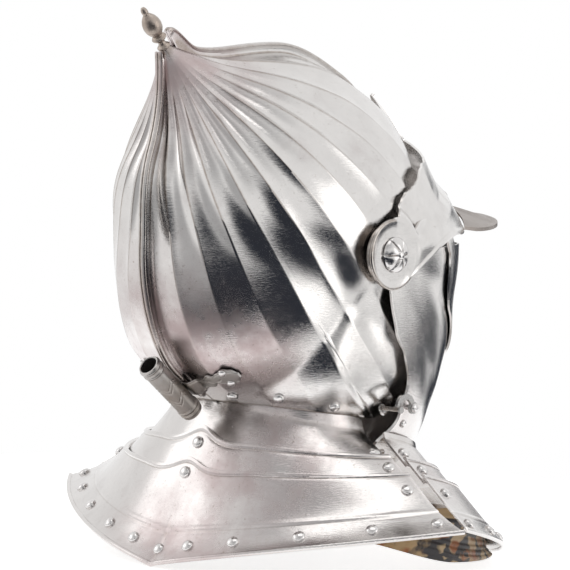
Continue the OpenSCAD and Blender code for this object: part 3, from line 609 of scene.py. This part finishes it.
# Skull halves with their comb
def turn_at(f):
    lo, hi = np.zeros_like(f), np.full_like(f, 180.0)
    for _ in range(24):
        mid = (lo + hi) / 2
        low = flute_phase(mid) < f
        lo, hi = np.where(low, mid, lo), np.where(low, hi, mid)
    return (lo + hi) / 2


COLS_A_FLUTE, SKULL_ROWS, SEAM = 20, 110, 0.2
COMB_SPANS = ((44, APEX_ANGLE - 2.4), (APEX_ANGLE + 2.2, 233))


def skull_half(side, label):
    ps = np.clip(turn_at(np.linspace(0, FLUTES, FLUTES * COLS_A_FLUTE + 1)), 0.01, 179.99)
    end = skull_end(ps)
    u = np.linspace(0, 1, SKULL_ROWS + 1)
    th = lerp(APEX_GAP, end[:, None], (u - 0.075 * sind(360 * u))[None, :])
    ps = np.broadcast_to(ps[:, None], th.shape)
    build = Build()
    sides = []
    for off in (0.0, -SHEET):
        p = skull_pt(th, ps, off)
        p[..., 1] = np.maximum(p[..., 1], SEAM) * side
        sides.append(p)
    build.shell(sides[0], sides[1], flip=side < 0)
    for a0, a1 in COMB_SPANS:
        a = np.linspace(a0, a1, 150)
        r0 = comb_base(a) - SHEET * 0.8
        r1 = comb_base(a) + comb_height(a)
        prof = [(r0, SEAM), (r0, 1.9), (r1 - 3.2 * BEAD_R, 1.6), (r1 - 2.3 * BEAD_R, 1.5)]
        prof += [(r1 - BEAD_R * (1 - sind(x)), 0.5 + 1.6 * BEAD_R * cosd(x))
                 for x in np.linspace(-40, 90, 9)]
        prof += [(r1 - 0.15 * BEAD_R, SEAM)]
        ring = np.array([np.broadcast_arrays(r, y * np.ones_like(a)) for r, y in prof])
        pts = np.stack([ring[:, 0] * cosd(a), ring[:, 1] * side, ring[:, 0] * sind(a)], -1)
        first, last = pts[:, :1].mean(0, keepdims=True), pts[:, -1:].mean(0, keepdims=True)
        build.grid(capped(pts, first, last), wrap=True, flip=side < 0)
    build.make("skull_shell_" + label, skull_steel, "skull", ["skull_" + label],
               sharp=50)


skull_half(1, "left")
skull_half(-1, "right")


# Face plates
MEAN_LINE_A, MEAN_POWER_A = -45.0, -30.0
PIVOT_RINGS, PIVOT_SINK, PIN_R = (0.42, 0.6, 0.8), 0.5, 3.06
# Rings of a pad from its bore, then from its border inward, and how far each stands up
PAD_RINGS, PAD_BORDER = (PIN_R, PIN_R, 5, 8, 11, 14, 16), (2.6, 1.9, 1.2, 0.5, 0.1, 0, 0)
PAD_RISE, HEAD_SEAT = (0, 0, 0, 0, 0, 0, 0, 0, 0.45, 0.55, 0.4, 0, -0.35, 0), 0.08


def fan(build, line, power, top, low, w, rows=46, cols=70, relief=None, pull=None):
    b = np.linspace(-90, 90, 2 * cols + 1)
    q = face_q(line(MEAN_LINE_A), np.abs(b), power(MEAN_POWER_A))
    v = np.linspace(0, 1, rows + 1)[None, :]
    a = lerp(top(q, b)[:, None], low(q, b)[:, None], v)
    bb = np.broadcast_to(b[:, None], a.shape)
    extra = 0.0 if relief is None else relief(q[:, None], bb, a, v)
    outer = face_pt(a, bb, line(a), w, power(a), extra)
    inner = face_pt(a, bb, line(a), w, power(a), -SHEET)
    if pull is not None:
        outer, inner = pull(outer, line(a), extra), pull(inner, line(a), -SHEET)
    build.shell(to_pivot(outer, PIVOT_SINK), to_pivot(inner), flip=True)


def to_pivot(grid, sink=0.0):
    """Carry both ends of a plate in below the pivot heads."""
    ends = []
    for edge in (grid[0], grid[-1]):
        ends.append(np.array([edge * (f, 1, f) - np.sign(edge) * (0, sink, 0)
                              for f in PIVOT_RINGS]))
    return np.concatenate([ends[0], grid, ends[1][::-1]], axis=0)


def pads(build, w, r, line, power, cover, shrink):
    """Round pads in the plate's surface, with a raised border where they stand free."""
    a = np.linspace(-180, 180, 120, endpoint=False)[:, None]
    free = 1 - ease((a - cover[0] + 8) / 10) * ease((cover[1] + 8 - a) / 10)
    q = np.array([*PAD_RINGS, *(r - d for d in PAD_BORDER)])[None, :]
    q = q - (q > 11) * shrink * free
    rise = np.array(PAD_RISE)[None, :] * free
    sunk = HEAD_SEAT * np.where(q < 12, 1, 1 - free)
    n = power(a)
    c = np.clip((q - PAD_R) / (line(a) - PAD_R), 0, 1)
    y = (w ** n * (1 - c ** n)) ** (1 / n) + rise - sunk
    y[:, 0] = w - SHEET
    y[:, -1] = w - SHEET
    y = np.concatenate([y, np.full_like(y[:, :1], w - SHEET)], axis=1)
    q = np.concatenate([q, q[:, :1]], axis=1)
    for side in (-1, 1):
        build.grid(stack(q * cosd(a), side * y, q * sind(a)), wrap=True, flip=side > 0)


BORDER_H, BORDER_W = 0.2, 0.035


def bevor_relief(q, b, a, v):
    """Raised border along the lower edge."""
    up = ease((v - (1 - BORDER_W)) / (0.35 * BORDER_W))
    return BORDER_H * up * (1 - 0.4 * ease((v - 0.99) / 0.01))


# Creases of the visor, through points on its right side, mirrored on the left
FORK = (54.9, 88.1, 17.7)
CREASES = [((25, 92.5, 36.8), FORK, 0.8, 15), (FORK, (116.7, 48.8, 21.2), 0.9, 14),
           (FORK, (22, 99.5, 1), 0.6, 12)]


def hug_skull(p, line, off):
    """Bring the upper part of the visor close to the skull, clear of it over the whole lift."""
    q, a = np.hypot(p[..., 0], p[..., 2]), np.degrees(np.arctan2(p[..., 2], p[..., 0]))
    c = np.minimum(1, q / (line + off))
    n = np.maximum(skull_power(a), skull_power(a + 18))
    close = (skull_w(a) + SHEET + 1.0 + off) * (1 - c ** n) ** (1 / n)
    y = np.abs(p[..., 1])
    y = lerp(y, np.minimum(y, close), ease((q - PAD_R - 3) / 11) * ease((a - 10) / 24))
    return stack(p[..., 0], y * np.sign(p[..., 1]), p[..., 2])


def visor_relief(q, b, a, v):
    p = face_pt(a, b, visor_line(a), VISOR_W, visor_power(a), 0.0)
    p = stack(p[..., 0], np.abs(p[..., 1]), p[..., 2])
    rise = 0
    for start, end, height, width in CREASES:
        start, end = np.array(start), np.array(end)
        d = end - start
        t = np.clip((p - start) @ d / (d @ d), 0, 1)[..., None]
        away = np.linalg.norm(p - start - t * d, axis=-1)
        rise = np.maximum(rise, height * np.exp(-(away / (0.5 * width)) ** 2))
    edge = np.clip((a - curve(VISOR_LOW, q)) / 4, 0, 1)
    bead = 0.75 * ease((v - 0.93) / 0.03) * ease((q - PAD_R) / 4)
    return rise * edge * ease((q - PAD_R - 1) / 5) + bead


def face_plate(node, line, power, top, low, w, pad_r, cover, shrink=0.0, **shape):
    build = Build()
    fan(build, line, power, top, low, w, **shape)
    pads(build, w, pad_r, line, power, cover, shrink)
    build.make(node + "_plate", face_steel, node, [node])


face_plate("bevor", bevor_line, bevor_power, lambda q, b: through(BEVOR_TOP, q),
           lambda q, b: bevor_low(q), BEVOR_W, PAD_R + 1, (-84, -10), shrink=3,
           relief=bevor_relief)
face_plate("face_guard", guard_line, guard_power, lambda q, b: through(GUARD_TOP, q),
           lambda q, b: through(GUARD_LOW, q), GUARD_W, PAD_R + 1, (-28, 30), shrink=3, rows=30)
face_plate("visor", visor_line, visor_power, visor_up, lambda q, b: curve(VISOR_LOW, q),
           VISOR_W, PAD_R + 1.5, (-42, 82), rows=56, cols=150, relief=visor_relief,
           pull=hug_skull)


# Peak
PEAK_SPREAD = 40


def peak_grid(k):
    b = np.linspace(-PEAK_SPREAD, PEAK_SPREAD, 61)[:, None]
    t = np.linspace(0.03, 1, 27)[None, :]
    u = b / PEAK_SPREAD
    z = lerp(24.0, 9.0, u * u)
    a = np.degrees(np.arctan2(z, BROW_REACH))
    root = face_pt(a, b, visor_line(a), VISOR_W, visor_power(a), 0.6)
    reach = PEAK_L * np.maximum(0, 1 - u * u) ** 0.6 * t
    d = unit(stack(1.0, root[..., 1] / 190, 0.0))
    p = stack(root[..., 0], root[..., 1], z) + d * reach[..., None]
    rim = 0.9 * k * ease((t - 0.86) / 0.06)
    return p - stack(0.0, 0.0, 0.26 * reach + (1 - k) * 1.5 - rim)


build = Build()
build.shell(peak_grid(1), peak_grid(0), flip=True)
build.make("peak_plate", peak_steel, "visor", ["peak"])


# Gorget lames
LIP_H, EMBOSS_H, EMBOSS_V = 0.85, 0.6, 0.81


def lame(front, v0, v1, layer, cusped, rim, name, body):
    t = np.linspace(-1, 1, 161)
    t = np.where(t == 0, TINY, t)[:, None]
    start = v0 + (cusp(t) if cusped else (v0 * t * t if v0 < 0 else 0 * t))
    near = np.array([0, 0.003, 0.007, 0.012, 0.018, 0.024, 0.03, 0.036, 0.042, 0.05])[None, :]
    rest = lerp(start + 0.06, v1, np.linspace(0, 1, 40 if rim else 12)[None, :])
    v = np.concatenate([start + near, rest], axis=1)
    lift = lame_lift(layer)
    d = v - start
    lip = 0.0
    if cusped:
        lip = (LIP_H * ease((d + 0.004) / 0.008) * (1 - ease((d - 0.022) / 0.012))
               - 0.2 * np.exp(-((d - 0.038) / 0.006) ** 2))
    if rim:
        lip = (lip + EMBOSS_H * np.exp(-((v - EMBOSS_V) / 0.011) ** 2)
               - 0.25 * np.exp(-((v - EMBOSS_V - 0.022) / 0.01) ** 2))
    outer = gorget_pt(front, t + 0 * v, v, lift + LAME_SHEET + lip)
    inner = gorget_pt(front, t + 0 * v, v, lift + 0 * v)
    build = Build()
    build.shell(outer, inner, flip=front)
    if rim:
        c = gorget_pt(front, t[:, 0], 1.0, RIM_LIFT)
        d = gorget_pt(front, t[:, 0], 0.97, RIM_LIFT)
        along = unit(np.gradient(c, axis=0))
        z = unit(c - d)
        y = unit(np.cross(along, z))
        k = np.linspace(0, 360, 14, endpoint=False)
        pts = np.array([c + RIM_R * (cosd(x) * z + sind(x) * y) for x in k])
        build.grid(capped(pts, c[:1], c[-1:]), wrap=True)
    build.make(name + "_plate", gorget_steel, body, [name])


lame(False, -0.1, 0.33, 0, False, False, "rear_lame_1", "skull")
lame(False, 0.23, 0.52, 1, True, False, "rear_lame_2", "rear_lame_2")
lame(False, 0.43, 1, 2, True, True, "rear_lame_3", "rear_lame_3")
lame(True, -0.04, 0.3, 0, False, False, "front_lame_1", "bevor")
lame(True, 0.22, 0.5, 1, True, False, "front_lame_2", "front_lame_2")
lame(True, 0.42, 1, 2, True, True, "front_lame_3", "front_lame_3")


# Rivets on the lames
def both(places):
    out = []
    for t, v in places:
        out += [(TINY, v)] if t == 0 else [(t, v), (-t, v)]
    return out


REAR_BORDER = [(t, 0.92) for t in (0, 0.17, 0.36, 0.58, 0.79, 0.965)]
FRONT_BORDER = [(t, 0.92) for t in (0, 0.2, 0.4, 0.6, 0.8, 0.955)]


def seat(at, u, v, step=1.0, outward=None):
    """A point on a surface and the surface's outward normal there."""
    p = at(u, v)
    n = unit(np.cross(at(u + step, v) - at(u - step, v), at(u, v + step) - at(u, v - step)))
    return p, n * (1 if n @ np.asarray(p if outward is None else outward(p)) > 0 else -1)


def heads(places, r, name, node, body):
    build = Build()
    for p, n in places:
        turned(build, axes_on(p + 0.1 * n, n), dome(r), segments=28)
    build.make(name, rivet_steel, body, [node])


def lame_rivets(front, layer, places, node, body):
    def lame_at(t, v):
        return gorget_pt(front, t, v, lame_lift(layer) + LAME_SHEET)
    heads([seat(lame_at, t, v, 0.01, lambda p: (p[0] + 10, p[1], 60)) for t, v in both(places)],
          RIVET_R, node + "_heads", node, body)


lame_rivets(False, 0, [(0.955, 0.2)], "rear_lame_1_rivets", "skull")
lame_rivets(False, 1, [(0, 0.28), (0.955, 0.36)], "rear_lame_2_rivets", "rear_lame_2")
lame_rivets(False, 2, [(0, 0.47), (0.955, 0.6)] + REAR_BORDER, "rear_lame_3_rivets", "rear_lame_3")
lame_rivets(True, 0, [(0.945, 0.14)], "front_lame_1_rivets", "bevor")
lame_rivets(True, 1, [(0, 0.3), (0.945, 0.34)], "front_lame_2_rivets", "front_lame_2")
lame_rivets(True, 2, [(0, 0.55), (0.945, 0.6)] + FRONT_BORDER, "front_lame_3_rivets",
            "front_lame_3")


# Finial
FINE = []
for (r0, z0), (r1, z1) in zip(FINIAL_PROFILE[2:-1], FINIAL_PROFILE[3:]):
    FINE += [(lerp(r0, r1, k / 4), lerp(z0, z1, k / 4)) for k in range(4)]
FINE = np.array([FINIAL_PROFILE[0], FINIAL_PROFILE[1]] + FINE + [FINIAL_PROFILE[-1]])
FINE[4:-2, 0] = (FINE[3:-3, 0] + 2 * FINE[4:-2, 0] + FINE[5:-1, 0]) / 4
build = Build()
turned(build, axes_on(APEX_DIR * FINIAL_BASE_R, APEX_DIR), FINE, segments=64)
build.make("finial_turned", brown_steel, "skull", ["finial"], sharp=60)


# Pivot bolts with segmented heads
def rosette_wave(a, r, h):
    seg = (a % 60) - 30
    groove = 0.9 * np.exp(-(((30 - np.abs(seg)) * r / 60) ** 2) / 0.12) * ease(r / 3)
    puff = 0.5 * np.cos(np.radians(seg * 3)) * ease(r / 4) * ease((ROSETTE_R + 1 - r) / 5)
    return h - groove + puff


CAP_PROFILE = [(2.9, 4.6), (2.7, 5.4), (1.9, 6.1), (0.9, 6.45), (0, 6.5)]
BOLT_PROFILE, BOLT_INSET = [(0, 0), (3, 0), (3, 18)], 9
for side, label in ((1, "left"), (-1, "right")):
    build = Build()
    r = np.linspace(ROSETTE_R, 2.6, 22)
    h = 1.2 + 4.4 * (1 - (r / ROSETTE_R) ** 2) ** 0.75
    prof = [(ROSETTE_R * 0.98, 0.2)] + list(zip(r, h))
    outside = axes_on([0, side * (VISOR_W + 0.2), 0], [0, side, 0])
    turned(build, outside, prof, segments=180, wave=rosette_wave)
    turned(build, outside, CAP_PROFILE, segments=32)
    inside = axes_on([0, side * (SKULL_HALF_W - BOLT_INSET), 0], [0, side, 0])
    turned(build, inside, BOLT_PROFILE, segments=32)
    build.make("pivot_head_" + label, rivet_steel, "skull", ["pivot_bolt_" + label],
               sharp=35)


# Other rivets
def skull_at(th, ps):
    return skull_pt(np.array(th), np.array(ps), 0.0)


def cheek_at(a, b):
    return face_pt(a, b, bevor_line(a), BEVOR_W, bevor_power(a), 0.0)


def brow_at(a, b):
    return face_pt(a, b, visor_line(a), VISOR_W, visor_power(a), 0.0)


LINING_RIVET_R = 0.92 * RIVET_R
LINING_RIVETS_UP, BEVOR_RIVETS_UP, PEAK_RIVETS_A = 4.2, 4.0, 13.0
places = []
for ps in (168.0, 152.0, 137.0, 121.0):
    p, n = seat(skull_at, float(skull_end(np.array([ps]))[0]) - LINING_RIVETS_UP, ps)
    places += [(p * (1, side, 1), n * (1, side, 1)) for side in (1, -1)]
heads(places, LINING_RIVET_R, "lining_rivet_heads", "lining_rivets", "skull")
places = []
for b in (26.0, 42.0, 56.0):
    q = face_q(float(bevor_line(MEAN_LINE_A)), b, float(bevor_power(MEAN_POWER_A)))
    places += [seat(cheek_at, float(bevor_low(q)) + BEVOR_RIVETS_UP, b * side) for side in (1, -1)]
heads(places, SMALL_RIVET_R, "bevor_rivet_heads", "bevor_rivets", "bevor")
heads([seat(brow_at, PEAK_RIVETS_A, b) for b in (-26.0, 0.0, 26.0)],
      SMALL_RIVET_R, "peak_rivet_heads", "peak_rivets", "visor")

# Plume holder
TUBE_A, BRACKET_A, BRACKET_T, BRACKET_L, BRACKET_OFF = 230.0, 226.0, 1.2, 42.0, 0.35
COMB_AT_BRACKET = float(comb_height(np.array(BRACKET_A))) + 0.4
TUBE_R = PLUME_BORE_R + PLUME_WALL
TUBE_D = float(comb_base(BRACKET_A)) + COMB_AT_BRACKET + BRACKET_T + 0.6 + TUBE_R
TUBE_DIR = np.array([math.sin(math.radians(TUBE_A)), 0, -math.cos(math.radians(TUBE_A))])
TUBE_FOOT = np.array([TUBE_D * math.cos(math.radians(TUBE_A)), 0,
                      TUBE_D * math.sin(math.radians(TUBE_A))]) - TUBE_DIR * 5
TUBE_BANDS, TUBE_CHEVRONS = (3, 6, PLUME_L - 2, PLUME_L - 6), (14, 17, 26, 29)
BORE_RINGS = [(PLUME_BORE_R + 0.35, PLUME_L), (PLUME_BORE_R, PLUME_L - 0.4),
              (PLUME_BORE_R, PLUME_L / 2), (PLUME_BORE_R, 3), (0, 3)]


def plume_tube():
    """A rolled sheet with a lap, raised bands, cut chevrons and its bore."""
    p, x, y, axis = axes_on(TUBE_FOOT, TUBE_DIR)
    a = np.linspace(0, 360, 160, endpoint=False)[:, None]
    z = np.linspace(0.15, PLUME_L - 0.15, 120)
    z = np.concatenate([[0, 0], z, [PLUME_L, PLUME_L]])[None, :]
    bands = sum(0.55 * np.exp(-((z - c) / 0.7) ** 4) for c in TUBE_BANDS)
    chevron = np.abs((a / 45) % 2 - 1)
    lines = sum(0.3 * np.exp(-((z - c - 5 * chevron) / 0.35) ** 2) for c in TUBE_CHEVRONS)
    lap = 0.55 * (a / 360) - 0.25
    r = TUBE_R + lap + bands - lines
    r = r - 0.3 * (z > PLUME_L - 0.2) - 0.3 * (z < 0.1)
    r[:, 0] = 0
    inner_r, inner_z = np.array(BORE_RINGS).T[:, None, :] + 0 * a
    r = np.concatenate([r, inner_r], axis=1)
    z = np.concatenate([z + 0 * a, inner_z], axis=1)
    return p + (cosd(a) * r)[..., None] * x + (sind(a) * r)[..., None] * y + z[..., None] * axis


build = Build()
build.grid(plume_tube(), wrap=True)
build.make("plume_tube_rolled", tube_steel, "skull", ["plume_tube"])

# Half height of the bracket at each distance from the middle
BRACKET = [(0, 7), (9, 6.5), (15, 4.4), (21, 6.2), (25, 3.6), (29, 5.4), (34, 8), (38.5, 6.4),
           (42, 2.2)]
BRACKET_RIVET_Y, BRACKET_RIVETS_A = 34.0, (220.2, 225.6)


def skull_side(a, y, off):
    n = skull_power(a)
    w = skull_w(a) + off
    q = (skull_mid(a) + off) * np.maximum(0, 1 - (np.abs(y) / w) ** n) ** (1 / n)
    return stack(q * cosd(a), y, q * sind(a))


def bracket_grid(k):
    y = np.linspace(-BRACKET_L, BRACKET_L, 241)[:, None]
    u = np.linspace(-1, 1, 31)[None, :]
    rise = COMB_AT_BRACKET * (1 - ease((np.abs(y) - 4.2) / 7)) + BRACKET_OFF
    w = through(BRACKET, np.abs(y)) / BACK_R * 180 / math.pi
    a = BRACKET_A - 3 * ease((np.abs(y) - 8) / 20) + w * u
    vine = np.exp(-((u - 0.5 * np.sin(np.abs(y) / 3.2)) / 0.12) ** 2)
    vine = vine * (np.abs(y) > 10) * (np.abs(y) < 30)
    carved = -0.3 * np.exp(-((np.abs(u) - 0.8) / 0.06) ** 2) - 0.25 * vine
    return skull_side(a, y, rise + k * (BRACKET_T + carved - 0.3 * np.abs(u) ** 8))


build = Build()
build.shell(bracket_grid(1), bracket_grid(0))
build.make("plume_bracket_lobed", tube_steel, "skull", ["plume_bracket"])


def bracket_at(a, y):
    return skull_side(np.array(a), np.array(y), BRACKET_OFF + BRACKET_T)


heads([seat(bracket_at, a, BRACKET_RIVET_Y * side) for side in (1, -1) for a in BRACKET_RIVETS_A],
      SMALL_RIVET_R, "bracket_rivet_heads", "bracket_rivets", "skull")


# Sheets: leathers and cloth
def sheet_piece(name, middle, thick, material, body, node):
    """A thin closed sheet about a grid of middle points."""
    n = unit(np.cross(np.gradient(middle, axis=0), np.gradient(middle, axis=1)))
    build = Build()
    build.shell(middle + n * thick / 2, middle - n * thick / 2)
    obj = build.make(name, material, body, [node], sharp=0)


CLOTH_T, LEATHER_T, BAND_T = 0.8, 1.1, 1.4
LEATHER_HALF, LEATHER_IN, LEATHER_SIDE = 0.045, 1.6, 0.72
BAND_SPREAD, BAND_TOP, BAND_LOW, BAND_IN = 72, 12, 2, 2.8
REAR_CLOTH_SPAN, REAR_CLOTH_IN, HEM_RISE = 0.86, 1.0, 14.0


def leather_grid(front, t0):
    t = t0 + LEATHER_HALF * np.linspace(-1, 1, 17)[:, None] + TINY
    v = np.linspace(0.06, 0.6 if front else 0.68, 70)[None, :]
    steps = (0.3, 0.5) if front else (0.33, 0.53)
    off = -LEATHER_IN + sum(LAME_STEP * ease((v - k - 0.005) / 0.04) for k in steps)
    return gorget_pt(front, t, v, off + 0.12 * np.sin(40 * v + 9 * t))


for end, body in (("rear", "skull"), ("front", "bevor")):
    for label, t0 in (("right", -LEATHER_SIDE), ("middle", 0.0), ("left", LEATHER_SIDE)):
        sheet_piece(end + "_leathers_" + label, leather_grid(end == "front", t0), LEATHER_T,
                    strap_leather, body, end + "_leathers")


def head_band():
    k = np.linspace(-1, 1, 181)[:, None]
    u = np.linspace(0, 1, 13)[None, :]
    ps = np.minimum(180 - BAND_SPREAD * np.abs(k), 179.99)
    th = skull_end(ps[:, 0])[:, None] - lerp(BAND_TOP, BAND_LOW, u)
    band = skull_pt(th, ps + 0 * th, -SHEET - BAND_IN + 0.15 * np.sin(60 * k) * (1 - u))
    band[..., 1] *= np.where(k < 0, -1, 1)
    return band


sheet_piece("head_band", head_band(), BAND_T, lining_leather, "skull", "head_lining")


def rear_cloth():
    t = REAR_CLOTH_SPAN * np.linspace(-1, 1, 161)[:, None] + TINY
    v = np.linspace(0.72, 0.97, 25)[None, :]
    ripple = 0.25 * np.sin(34 * t + 5 * v) + 0.15 * np.sin(71 * t)
    return gorget_pt(False, t, v, lame_lift(2) - REAR_CLOTH_IN + ripple * 0.8)


sheet_piece("rear_cloth", rear_cloth(), CLOTH_T, cloth, "rear_lame_3", "rear_lining")


def fold(s, v):
    return (1.5 * ease(v / 0.35) * (1 + np.sin(2 * math.pi * (1.5 * v + 1.2 * s)))
            * (0.75 + 0.25 * np.sin(math.radians(1100) * s)) * ease((s - 0.1) / 0.25))


def front_cloth():
    t = np.linspace(-1, 1, 401)[:, None]
    v = np.linspace(0, 1, 61)[None, :]
    s = np.maximum(TINY, np.abs(t))
    g = gorget_pt(True, s, 0.66, lame_lift(2) - 1.8)
    g[..., 1] = np.abs(g[..., 1])
    top = g - ease((s - 0.78) / 0.22)[..., None] * np.array([34.0, 42.0, 10.0])
    h = bez([(GORGET_FRONT - 12, 0), (GORGET_FRONT - 52, 62), (60, 165), (-45, 88)], s)
    hem_z = base_z(h[..., 0]) + 1 + 8 * s * s + HEM_RISE * ease((s - 0.72) / 0.28)
    hem = stack(h[..., 0], h[..., 1], hem_z)
    p = lerp(top, hem, v[..., None])
    out = unit(stack(p[..., 0] + 20, p[..., 1], 40.0 + 0 * p[..., 0]))
    wrinkle = 0.3 * np.sin(55 * v + 21 * s) * ease(v / 0.3)
    p = p + out * (0.6 + fold(s, v) + wrinkle * ease((s - 0.1) / 0.25))[..., None]
    return stack(p[..., 0], p[..., 1] * np.where(t < 0, -1, 1), p[..., 2])


sheet_piece("front_cloth", front_cloth(), CLOTH_T, cloth, "front_lame_3", "front_lining")

# Better materials on the pieces that keep their solids
for node in ("closing_hook", "hook_stud", "finial_nut", "pivot_nut_left", "pivot_nut_right"):
    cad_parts[node].material_slots[0].material = tube_steel
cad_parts["hook_rivet"].material_slots[0].material = rivet_steel


# Camera at the photograph's viewing angle
def photo_camera():
    focal = CAM_SCALE * CAM_DISTANCE
    ca, sa = math.cos(math.radians(CAM_TURN)), math.sin(math.radians(CAM_TURN))
    ce, se = math.cos(math.radians(CAM_RISE)), math.sin(math.radians(CAM_RISE))
    towards = PIVOT_SIDE * ca
    k = focal / (CAM_DISTANCE - towards * ce)
    shift_x = (PIVOT_PX[0] - PHOTO_SIDE / 2) / k - PIVOT_SIDE * sa
    shift_y = (PHOTO_SIDE / 2 - PIVOT_PX[1]) / k + towards * se
    right = np.array([ca, -sa, 0])
    back = np.array([-sa * ce, -ca * ce, se])
    up = np.array([sa * se, ca * se, ce])
    eye = place(back * CAM_DISTANCE - right * shift_x - up * shift_y)
    right, back, up = turn(right), turn(back), turn(up)
    camera = bpy.data.cameras.new("camera")
    camera.sensor_width = 36
    camera.lens = focal / PHOTO_SIDE * 36
    camera.clip_start, camera.clip_end = 0.05, 50
    camera_obj = bpy.data.objects.new("camera", camera)
    bpy.context.scene.collection.objects.link(camera_obj)
    camera_obj.matrix_world = Matrix((
        (right[0], up[0], back[0], eye[0]),
        (right[1], up[1], back[1], eye[1]),
        (right[2], up[2], back[2], eye[2]),
        (0, 0, 0, 1)))
    bpy.context.scene.camera = camera_obj


photo_camera()


# Floor and lamps
FLOOR_SIDE, FLOOR_LIGHT, FLOOR_SEEN = 0.84, 0.05, 0.78
LAMP_AIM = Vector((0, 0, 0.17))


def floor_material():
    mat, t, bsdf = surface("floor")
    bsdf.inputs["Base Color"].default_value = (0.8, 0.8, 0.8, 1)
    bsdf.inputs["Roughness"].default_value = 0.8
    bsdf.inputs["Emission Color"].default_value = (1, 1, 1, 1)
    light = t.ramp(t.background_rays(), 0, 1, FLOOR_LIGHT, FLOOR_SEEN)
    t.link(light, bsdf.inputs["Emission Strength"])
    return mat


floor_mesh = bpy.data.meshes.new("floor")
corners = ((-1, -1), (1, -1), (1, 1), (-1, 1))
corners = [(x * FLOOR_SIDE / 2, y * FLOOR_SIDE / 2, 0) for x, y in corners]
floor_mesh.from_pydata(corners, [], [(0, 1, 2, 3)])
floor_mesh.materials.append(floor_material())
floor = bpy.data.objects.new("floor", floor_mesh)
bpy.context.scene.collection.objects.link(floor)
floor.location = (0.16, 0.16, -0.0004)


def lamp(name, at, size, power, color=(1, 1, 1)):
    light = bpy.data.lights.new(name, "AREA")
    light.shape = "RECTANGLE"
    light.size, light.size_y = size
    light.energy = power
    light.color = color
    obj = bpy.data.objects.new(name, light)
    bpy.context.scene.collection.objects.link(obj)
    obj.location = at
    obj.rotation_mode = "QUATERNION"
    obj.rotation_quaternion = (Vector(at) - LAMP_AIM).to_track_quat("Z", "Y")


lamp("key", (0.64, -1.75, 0.42), (0.9, 1.4), 3.6, (1, 0.985, 0.965))
lamp("side", (-1.1, 1.3, 0.9), (1.2, 0.9), 2.6)
lamp("top", (-0.4, -0.3, 1.9), (1.5, 1.0), 6, (1, 0.99, 0.98))


# World: a white studio with darker parts, seen in the polished steel
FLATTEN, WORLD_LIGHT = 0.75, 0.5
# Turn, height, outer and inner radius of each dark part in degrees, and how dark it is
DARK_PARTS = [(222, -20, 34, 22, 1.0), (258, -22, 27, 20, 1.0), (212, 58, 54, 20, 0.5),
              (178, -8, 30, 10, 0.5), (188, -40, 32, 16, 0.85), (24, -4, 11, 8, 1.0),
              (352, -28, 30, 26, 0.9), (330, -16, 16, 8, 0.9)]


def direction(az, el):
    az, el = math.radians(az), math.radians(el)
    return math.cos(az) * math.cos(el), math.sin(az) * math.cos(el), math.sin(el)


def studio_world():
    world = bpy.data.worlds.new("world")
    bpy.context.scene.world = world
    world.use_nodes = True
    t = Nodes(world.node_tree)
    scale = t.add("ShaderNodeVectorMath", operation="MULTIPLY")
    scale.inputs[1].default_value = (1, 1, FLATTEN)
    norm = t.add("ShaderNodeVectorMath", operation="NORMALIZE")
    t.link(t.add("ShaderNodeTexCoord").outputs["Generated"], scale.inputs[0])
    t.link(scale.outputs[0], norm.inputs[0])
    total = 0.0
    for az, el, edge, core, depth in DARK_PARTS:
        dot = t.add("ShaderNodeVectorMath", operation="DOT_PRODUCT")
        dot.inputs[1].default_value = direction(az, el)
        t.link(norm.outputs[0], dot.inputs[0])
        edge, core = math.cos(math.radians(edge)), math.cos(math.radians(core))
        part = t.ramp(dot.outputs["Value"], edge, core, 0, depth, interpolation_type="SMOOTHSTEP")
        total = t.op("MAXIMUM", total, part)
    seen = t.add("ShaderNodeBackground")
    t.link(t.mix(total, (1, 1, 1), (0.03, 0.034, 0.045)), seen.inputs["Color"])
    light = t.add("ShaderNodeBackground", in_Color=(0.97, 0.98, 1, 1), in_Strength=WORLD_LIGHT)
    both_kinds = t.add("ShaderNodeMixShader")
    t.link(t.background_rays(), both_kinds.inputs[0])
    t.link(light.outputs[0], both_kinds.inputs[1])
    t.link(seen.outputs[0], both_kinds.inputs[2])
    t.link(both_kinds.outputs[0], t.add("ShaderNodeOutputWorld").inputs[0])


studio_world()

bpy.context.scene.view_settings.view_transform = "Standard"
